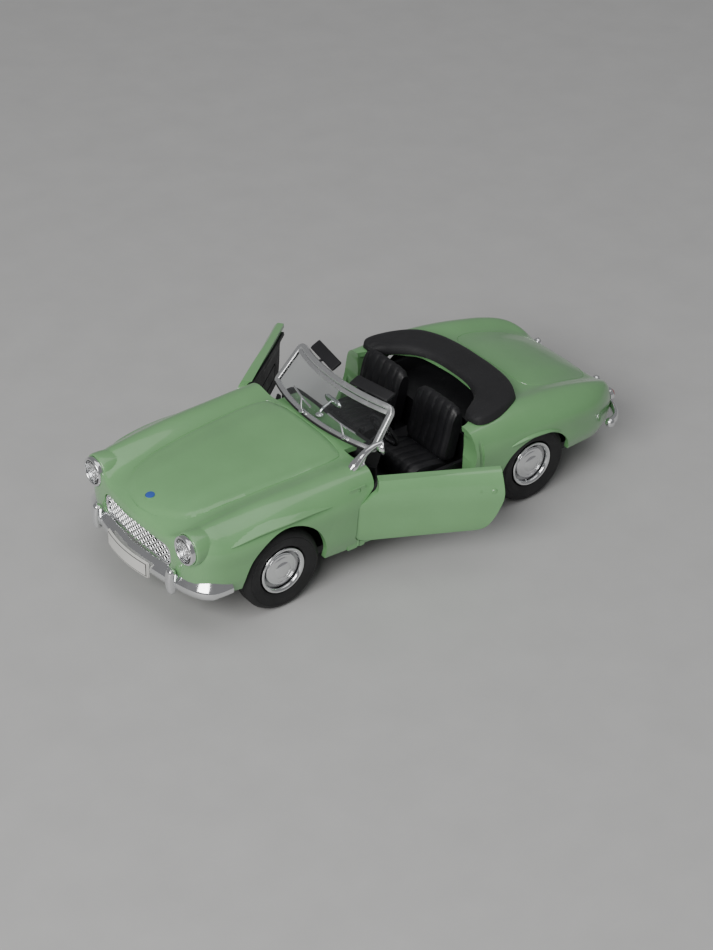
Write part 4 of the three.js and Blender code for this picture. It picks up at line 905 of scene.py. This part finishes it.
def number_plate(name, xs, face, half, z0, z1, node):
    """A plate with a raised dark border; face gives x at y, xs is the way it looks."""
    def shell(label, inset, low, high, mat):
        ys = np.linspace(-1, 1, 31) * (half - inset)
        a, b = z0 + inset, z1 - inset
        ring = []
        for y in ys:
            x = face(y)
            ring.append([(x + xs * low, y, a), (x + xs * high, y, a + 0.06), (x + xs * high, y, b - 0.06),
                         (x + xs * low, y, b)])
        return closed_grid(label, ring, mat, 30)
    pieces = [shell(name + "_base", 0.0, -0.5, 0.0, PLATE),
              shell(name + "_line", 0.22, -0.05, 0.05, PLATE_INK),
              shell(name + "_field", 0.42, 0.0, 0.1, PLATE)]
    for piece in pieces:
        place(piece, CAR, node, "plate")


number_plate("front_plate", 1, lambda y: 60.85 - 0.0155 * y * y, 7.4, 8.7, 12.3, "front_number_plate")
number_plate("rear_plate", -1, lambda y: -60.55, 5.4, 8.4, 12.8, "rear_number_plate")

tail = lathe("left_tail_lens", [(0, -0.6), (1.18, -0.6), (1.22, 0.1), (1.12, 0.42), (0.85, 0.66),
                                (0.45, 0.78), (0, 0.82)], (-57.6, 16.4, 14.6), (-1, 0.12, 0.1), RED, 48)
tail_ring = lathe("left_tail_ring", [(1.1, -0.8), (1.42, -0.8), (1.45, 0.05), (1.38, 0.2), (1.27, 0.22),
                                     (1.2, 0.1)], (-57.6, 16.4, 14.6), (-1, 0.12, 0.1), CHROME, 48,
                  closed=True)
for piece, slot in ((tail, "red_lens"), (tail_ring, "bright_trim")):
    place_pair(piece, "tail_light", slot)

badge_at = np.array([54.0, 0, float(top_z(54.0, 0)) + 0.32])
dot = lathe("badge_dot", [(0, -0.5), (0.98, -0.5), (1.0, 0.16), (0.93, 0.3), (0.6, 0.36), (0, 0.38)],
            badge_at, (0.12, 0, 1), ENAMEL, 64)
ring = lathe("badge_ring", [(1.0, -0.5), (1.14, -0.5), (1.14, 0.1), (1.1, 0.2), (1.04, 0.2)], badge_at,
             (0.12, 0, 1), PAINT, 64, closed=True)
for piece in (dot, ring):
    place(piece, CAR, "bonnet_badge", "blue_enamel")


# ------------------------------------------------------------------ windscreen
SCREEN_BASE = {"x": 14.0, "y": 17.5, "z": 25.7, "sweep": 3.6}
SCREEN_TOP = {"x": 6.9, "y": 16.2, "z": 33.7, "sweep": 2.9}
SCREEN_W, SCREEN_H = 17.0, 10.7
screen_normal = np.array([SCREEN_TOP["z"] - SCREEN_BASE["z"], 0, SCREEN_BASE["x"] - SCREEN_TOP["x"]])
screen_normal = screen_normal / np.linalg.norm(screen_normal)


def screen(u, v, t=0.0):
    """Points of the curved screen: u across, v up, t millimetres outward."""
    u, v, t = np.broadcast_arrays(np.asarray(u, float), np.asarray(v, float), np.asarray(t, float))
    mix = {k: SCREEN_BASE[k] + (SCREEN_TOP[k] - SCREEN_BASE[k]) * v for k in SCREEN_BASE}
    at = np.stack([mix["x"] - mix["sweep"] * u * u, mix["y"] * u, mix["z"] - 0.3 * u * u], -1)
    return at + t[..., None] * screen_normal


def screen_outline(inset, corner=2.2):
    w, h = SCREEN_W - inset, SCREEN_H / 2 - inset
    pts = round_corners([(w - 0.1, -h), (w, h), (-w, h), (-w + 0.1, -h)],
                        [0.7, corner, corner, 0.7], 9)
    dense = []
    for a, b in zip(pts, np.roll(pts, -1, axis=0)):
        n = max(1, int(np.linalg.norm(b - a) / 0.9))
        dense += [a + (b - a) * k / n for k in range(n)]
    dense = np.array(dense)
    return dense[:, 0] / SCREEN_W, dense[:, 1] / SCREEN_H + 0.5


u, v = screen_outline(0.42, 1.7)
frame_section = round_corners([(-0.62, -0.58), (0.62, -0.58), (0.62, 0.5), (0.3, 0.62), (-0.3, 0.62),
                               (-0.62, 0.5)], 0.16, 4)
frame_bar = sweep("screen_frame", screen(u, v), frame_section, FRAME_METAL, up=screen_normal, loop=True)
rail_u = np.linspace(-0.93, 0.93, 61)
rail = sweep("screen_header", screen(rail_u, np.full(61, 0.845)), round_corners(
    [(-0.5, -0.5), (0.5, -0.5), (0.5, 0.42), (-0.5, 0.42)], 0.15, 4), FRAME_METAL, up=screen_normal)
# A black strip along the screen's foot is painted shade for the gap between the screen and the cowl.
foot_shade_u = np.linspace(-0.955, 0.955, 61)
foot_shade = sweep("screen_seal", screen(foot_shade_u, np.full(61, 0.005), 0.15), oval(0.7, 1.0, 14, 0.8), RUBBER,
             up=screen_normal)
for piece, slot in ((frame_bar, "bright_trim"), (rail, "bright_trim"), (foot_shade, "rubber")):
    place(piece, CAR, "windscreen_frame", slot)
gu, gv = np.meshgrid(np.linspace(-0.935, 0.935, 49), np.linspace(0.075, 0.90, 13))
front_face, back_face = screen(gu, gv, 0.28), screen(gu, gv, -0.28)
rings = [np.concatenate([front_face[i], back_face[i][::-1]]) for i in range(len(gu))]
place(closed_grid("screen_pane", rings, GLASS, 30), CAR, "windscreen_glass", "clear")

for side, s in (("left", 1), ("right", -1)):
    at = np.array([SCREEN_TOP["x"] - 0.75, s * 8.15, SCREEN_TOP["z"] - 0.3])
    tilt = math.radians(24)
    rings = []
    for k in np.linspace(0, 1, 15):
        b = -2.7 + 2.7 * k
        h = 0.34 * math.sqrt(max(1 - (2 * k - 1) ** 6, 0.08))
        ring = []
        for a, c in round_corners([(-5.1, -h), (5.1, -h), (5.1, h), (-5.1, h)], min(0.2, 0.9 * h), 4):
            ridge = 0.05 * math.cos(k * 26) if abs(c) > 0.5 * h and 0.1 < k < 0.9 else 0
            z = c + math.copysign(ridge, c) * 0.5
            back = SCREEN_TOP["sweep"] * ((at[1] + a) / SCREEN_TOP["y"]) ** 2
            ring.append(at + [b * math.cos(tilt) + z * math.sin(tilt) - back, a,
                              -b * math.sin(tilt) + z * math.cos(tilt)])
        rings.append(ring)
    visor = closed_grid(f"{side}_visor_blade", rings, BLACK, 45)
    stalk = rod(f"{side}_visor_arm", (SCREEN_TOP["x"] - 3.4, s * 7.9, SCREEN_TOP["z"] - 0.25),
                (SCREEN_TOP["x"] - 0.95, s * 7.9, SCREEN_TOP["z"] - 0.35), 0.3, BLACK)
    for piece in (visor, stalk):
        place(piece, CAR, f"{side}_sun_visor", "black_plastic")


def wiper(label, u0, u1, node):
    us = np.linspace(u0, u1, 17)
    vs = 0.3 - 0.09 * np.linspace(0, 1, 17)
    blade = sweep(label + "_blade", screen(us, vs, 0.95), oval(0.42, 0.46, 12, 0.7), CHROME, up=screen_normal)
    pivot, middle = u1 - 0.1, (u0 + u1) / 2
    arm = sweep(label + "_arm", spline([screen(pivot, 0.04, 1.2), screen((pivot + middle) / 2, 0.16, 1.35),
                                        screen(middle, 0.255, 1.1)], 13), oval(0.44, 0.34, 12), CHROME,
                up=screen_normal, scale=np.linspace(1.1, 0.75, 13))
    boss = rod(label + "_pivot", screen(pivot, 0.04, 0.9), screen(pivot, 0.04, 1.55), 0.48, CHROME)
    for piece in (blade, arm, boss):
        place(piece, CAR, node, "bright_trim")


wiper("left_wipe", 0.24, 0.72, "left_wiper")
wiper("right_wipe", -0.52, -0.04, "right_wiper")

foot_z = float(top_z(11.4, 0)) + 0.3
stem = sweep("inner_mirror_stem", spline([(11.4, 0, foot_z + 0.1), (10.6, 0, foot_z + 1.3),
                                          (9.0, 0, foot_z + 2.0), (8.2, 0, 28.1)], 21), oval(0.6, 0.6, 16),
             CHROME, up=(0, 1, 0), scale=np.linspace(1.25, 0.85, 21))
foot = lathe("inner_mirror_foot", [(0, 0), (0.9, 0), (0.88, 0.22), (0.62, 0.48), (0, 0.6)], (11.4, 0, foot_z),
             (0, 0, 1), CHROME, 40)
t = np.linspace(-1, 1, 25)
mirror_back = sweep("inner_mirror_back", np.stack([np.full(25, 7.85), 2.7 * t, np.full(25, 28.05)], 1),
                    oval(0.9, 1.7, 20, 0.8), CHROME, scale=np.clip(1 - np.abs(t) ** 5, 0.12, 1) ** 0.5)
for piece in (stem, foot, mirror_back):
    place(piece, CAR, "interior_mirror", "bright_trim")

WING = np.array([16.3, 18.8, 24.6])
arm_line = spline([WING + [0.9, 0, 0.1], WING + [-0.5, 0.1, 1.5], WING + [-2.4, 0.25, 3.1],
                   WING + [-4.3, 0.45, 4.0], WING + [-6.1, 0.6, 4.15]], 41)
taper = np.interp(np.linspace(0, 1, 41), [0, 0.12, 0.35, 0.8, 1], [1.7, 1.9, 1.4, 0.95, 1.05])
arm = sweep("wing_mirror_arm", arm_line, oval(1.15, 1.25, 20), CHROME, up=(0, 1, 0), scale=taper)
leg_line = spline([WING + [-1.9, 0.1, -0.2], WING + [-2.0, 0.15, 1.0], WING + [-2.5, 0.3, 2.5]], 15)
inner_leg = sweep("wing_mirror_leg", leg_line, oval(0.55, 0.7, 16), CHROME, up=(0, 1, 0))
pad_line = round_corners([WING[:2] + d for d in ([1.7, 0.1], [1.1, 0.75], [-1.9, 0.8], [-2.5, 0.2],
                                                 [-1.9, -0.6], [1.1, -0.6])], 0.7, 6)
pad = prism("wing_mirror_foot", pad_line, WING[2] - 0.3, WING[2] + 0.75, "xy", CHROME)
bevelled(pad, 0.22)
head = lathe("wing_mirror_head", [(0, -1.1), (0.5, -1.05), (0.95, -0.85), (1.3, -0.5), (1.52, -0.05),
                                  (1.6, 0.3), (1.55, 0.42), (1.4, 0.44), (1.34, 0.3), (0, 0.26)],
             WING + [-6.3, 0.5, 3.0], (-0.86, 0.5, 0.05), CHROME, 56)
for piece in (arm, inner_leg, pad, head):
    place(piece, CAR, "wing_mirror", "bright_trim")


# ------------------------------------------------------------------ folded soft top
OUTER_EDGE = [(-14.7, 17.6), (-15.0, 19.6), (-16.6, 20.7), (-23.0, 19.9), (-28.4, 17.1), (-31.2, 12.2),
              (-32.4, 5.0), (-32.5, 0)]
INNER_EDGE = [(-14.7, 17.2), (-15.6, 15.6), (-18.6, 13.6), (-21.0, 11.8), (-22.4, 10.0), (-23.7, 6.6),
              (-24.1, 3.0), (-24.1, 0)]


def both_sides(edge):
    """The edge from its left end round the back to its right end."""
    half = spline(edge, 70)
    return np.concatenate([half, (half * [1, -1])[::-1][1:]])


outer_line, inner_line = both_sides(OUTER_EDGE), both_sides(INNER_EDGE)
rings = []
for k, (a, b) in enumerate(zip(outer_line, inner_line)):
    across = np.concatenate([np.linspace(0, 1, 23), np.linspace(1, 0, 23)[1:-1]])
    along = k / (len(outer_line) - 1)
    tip = min(along, 1 - along)
    ring = []
    for j, w in enumerate(across):
        x, y = a + (b - a) * w
        if j < 23:
            dome = (1 - abs(2 * w - 1) ** 9) ** 0.5
            rise = (1.75 - 0.35 * w + 0.3 * math.sin(math.pi * w)) * (0.3 + 0.7 * smoothstep(tip, 0, 0.13))
            fold = 0.05 * math.sin(21 * w + 4 * along) * dome * smoothstep(tip, 0.02, 0.1)
            ring.append((x, y, 23.9 + rise * dome + fold))
        else:
            ring.append((x, y, 23.6 - 2.9 * smoothstep(w, 0.45, 0.95)))
    rings.append(ring)
top = closed_grid("folded_top", rings, TOP_BLACK, 50)
boolean(top, [body_solid("clear", -0.12, step=1.0, fine=60, front=0, rear=-50)])
place(top, CAR, "soft_top_cover", "hood_cloth_look")


# ------------------------------------------------------------------ interior
PLEAT = 0.35
SEAT_INNER, SEAT_OUTER, SEAT_PLEATS = 2.6, 15.8, 6
SEAT_BASE = [(-0.9, 11.2), (-0.7, 14.0), (-2.0, 15.4), (-6.0, 15.3), (-10.0, 14.6), (-12.0, 13.2),
             (-12.2, 11.2), (-6.0, 11.0)]
SEAT_REST = [(-9.6, 14.9), (-10.7, 19.4), (-11.9, 24.4), (-13.2, 26.4), (-14.8, 25.9), (-15.2, 23.4),
             (-14.0, 17.2), (-12.6, 12.9), (-10.2, 13.4)]


def cushion(name, outline, y0, y1, pleats, mat):
    """A padded slab: side outline (x, z) spread across, with pleats running up it."""
    line = spline(outline, 60, closed=True)
    ys = np.linspace(0, 1, 49)
    centre = line.mean(axis=0)
    rings = []
    for t in ys:
        edge = 1 - 0.16 * (abs(2 * t - 1) ** 6)
        pleat = PLEAT * abs(math.sin(math.pi * pleats * t)) ** 0.6 * (1 if 0.08 < t < 0.92 else 0)
        inner = centre + (line - centre) * edge
        normal = np.stack([np.gradient(line[:, 1]), -np.gradient(line[:, 0])], 1)
        normal /= np.maximum(np.linalg.norm(normal, axis=1, keepdims=True), 1e-9)
        inward = np.sign(((centre - line) * normal).sum(1).mean())
        shape = inner + normal * inward * (0.25 - pleat * 0.5)
        rings.append([(x, y0 + (y1 - y0) * t, z) for x, z in shape])
    return closed_grid(name, rings, mat, 60)


for side, s in (("left", 1), ("right", -1)):
    base = cushion(f"{side}_seat_cushion", SEAT_BASE, SEAT_INNER, SEAT_OUTER, SEAT_PLEATS, SEAT_BLACK)
    rest = cushion(f"{side}_seat_backrest", SEAT_REST, SEAT_INNER, SEAT_OUTER, SEAT_PLEATS, SEAT_BLACK)
    for piece in (base, rest):
        if s < 0:
            old, piece = piece, mirror_copy(piece, piece.name)
            bpy.data.objects.remove(old)
        place(piece, CAR, f"{side}_seat", "black_plastic")

dash_line = spline([(10.7, 15.6), (10.7, 19.6), (10.6, 23.7), (9.2, 24.15), (7.6, 24.15), (6.6, 23.7),
                    (6.35, 22.6), (7.3, 19.6), (8.6, 16.2)], 64, closed=True)
ys = np.linspace(-15, 15, 61)
rings = []
for y in ys:
    e = 1 - 0.12 * (abs(y) / 15) ** 14
    centre = dash_line.mean(axis=0)
    rings.append([(x, y, z) for x, z in centre + (dash_line - centre) * e])
dash = closed_grid("dash_panel", rings, BLACK, 45)
gauges = []
for y in (5.4, 8.3, 11.2):
    gauges.append(lathe("gauge_ring", [(0, 0), (1.15, 0), (1.15, 2.55), (1.05, 2.72), (0.9, 2.7),
                                       (0.86, 2.5), (0, 2.42)], (8.9, y, 22.0), (-1, 0, 0.1), CHROME, 40))
place(dash, CAR, "dashboard", "black_plastic")
place(joined("gauge_rings", gauges), CAR, "dashboard", "bright_trim")

hub_at = np.array([0.6, 8.4, 22.4])
column = np.array([-0.9, 0, 0.42]) / np.linalg.norm([0.9, 0.42])
side_way = np.array([0, 1.0, 0])
rise = np.cross(column, side_way)
a = np.linspace(0, 2 * math.pi, 72, endpoint=False)
rim_line = hub_at + 3.9 * (np.cos(a)[:, None] * side_way + np.sin(a)[:, None] * rise)
rim = sweep("wheel_rim", rim_line, oval(0.78, 0.84, 14), BLACK, up=column, loop=True)
hub = lathe("wheel_hub", [(0, -0.7), (0.8, -0.7), (0.95, -0.3), (0.95, 0.15), (0.7, 0.4), (0, 0.48)],
            hub_at, column, BLACK, 48)
spokes = [rod("wheel_spoke", hub_at - 3.8 * side_way, hub_at + 3.8 * side_way, 0.3, BLACK, 20),
          rod("wheel_column", hub_at, (5.95, 8.4, 22.4 - 5.35 * 0.42 / 0.9), 0.48, BLACK, 32)]
for piece in (rim, hub, *spokes):
    place(piece, CAR, "steering_wheel", "black_plastic")

lever_z = TUB_FLOOR + 3.6 + 0.3
boot_cone = lathe("lever_gaiter", [(0, 0), (1.0, 0), (0.95, 0.25), (0.8, 0.3), (0.85, 0.5), (0.6, 0.6),
                                   (0.55, 0.85), (0, 0.9)], (1.6, 0, lever_z), (-0.1, 0, 1), BLACK, 40)
stick = rod("lever_stick", (1.6, 0, lever_z + 0.3), (0.2, 0, lever_z + 4.4), 0.3, CHROME)
knob = lathe("lever_knob", [(0, -0.75), (0.4, -0.68), (0.7, -0.3), (0.76, 0.05), (0.6, 0.45), (0.3, 0.68),
                            (0, 0.74)], (0.1, 0, lever_z + 4.7), (-0.3, 0, 1), BLACK, 40)
for piece, slot in ((boot_cone, "black_plastic"), (stick, "bright_trim"), (knob, "black_plastic")):
    place(piece, CAR, "gear_lever", slot)

# Nodes kept as they are, with their finishes. The ends of the hinge pins meet the painted surface.
for finish, nodes in ((BLACK, ("base_plate", "interior_tub")),
                      (STEEL, ("front_axle", "rear_axle", "front_base_screw", "rear_base_screw")),
                      (PAINT, ("left_hinge_pin", "right_hinge_pin"))):
    for node in nodes:
        kept = frame["nodes"][node]
        kept.data.materials.clear()
        kept.data.materials.append(finish)


# ------------------------------------------------------------------ floor, light, camera
FLOOR_HALF, FLOOR_COUNT, FLOOR_DROP = 1.5, 60, 0.00002   # metres, points along a side, metres
ticks = np.linspace(-FLOOR_HALF, FLOOR_HALF, FLOOR_COUNT)
gx, gy = np.meshgrid(ticks, ticks, indexing="ij")
gz = 0 * gx - FLOOR_DROP
floor = make("floor", np.stack([gx, gy, gz], 2) / MM, grid_faces(FLOOR_COUNT, FLOOR_COUNT), place=False)
floor.data.materials.append(material("pale_floor", (0.52, 0.52, 0.518), 0.6, 0.05, 0.03, ((300, 0.05),)))


def area_light(name, at, aim, size, power, color=(1, 1, 1)):
    data = bpy.data.lights.new(name, "AREA")
    data.shape = "RECTANGLE"
    data.size, data.size_y = size
    data.energy = power
    data.color = color
    obj = bpy.data.objects.new(name, data)
    bpy.context.collection.objects.link(obj)
    obj.location = at
    obj.rotation_euler = (Vector(aim) - Vector(at)).to_track_quat("-Z", "Y").to_euler()
    return obj


area_light("key", (0.62, 0.30, 0.50), (0, 0, 0.01), (0.55, 0.4), 5.6, (1.0, 0.99, 0.97))
area_light("overhead", (-0.1, 0.15, 0.95), (0, 0, 0), (0.8, 0.8), 2.1)
world = bpy.data.worlds.new("room")
world.use_nodes = True
world.node_tree.nodes["Background"].inputs["Color"].default_value = (0.50, 0.50, 0.51, 1)
world.node_tree.nodes["Background"].inputs["Strength"].default_value = 0.42
bpy.context.scene.world = world

CAMERA_EYE, CAMERA_AIM = np.array([250.95, 320.71, 283.36]), np.array([6.17, 6.29, 12.0])
CAMERA_LENS, CAMERA_ROLL = 85.43, 1.31
camera = bpy.data.cameras.new("camera")
camera.sensor_width = 36
camera.lens = CAMERA_LENS
camera.clip_start, camera.clip_end = 0.01, 10
view = bpy.data.objects.new("camera", camera)
bpy.context.collection.objects.link(view)
eye_at = Vector((CAMERA_EYE + OFFSET) * MM)
aim_at = Vector((CAMERA_AIM + OFFSET) * MM)
turn = (aim_at - eye_at).to_track_quat("-Z", "Y").to_matrix()
tilt = Matrix.Rotation(math.radians(CAMERA_ROLL), 3, "Z")
view.matrix_world = Matrix.Translation(eye_at) @ (turn @ tilt).to_4x4()
bpy.context.scene.camera = view
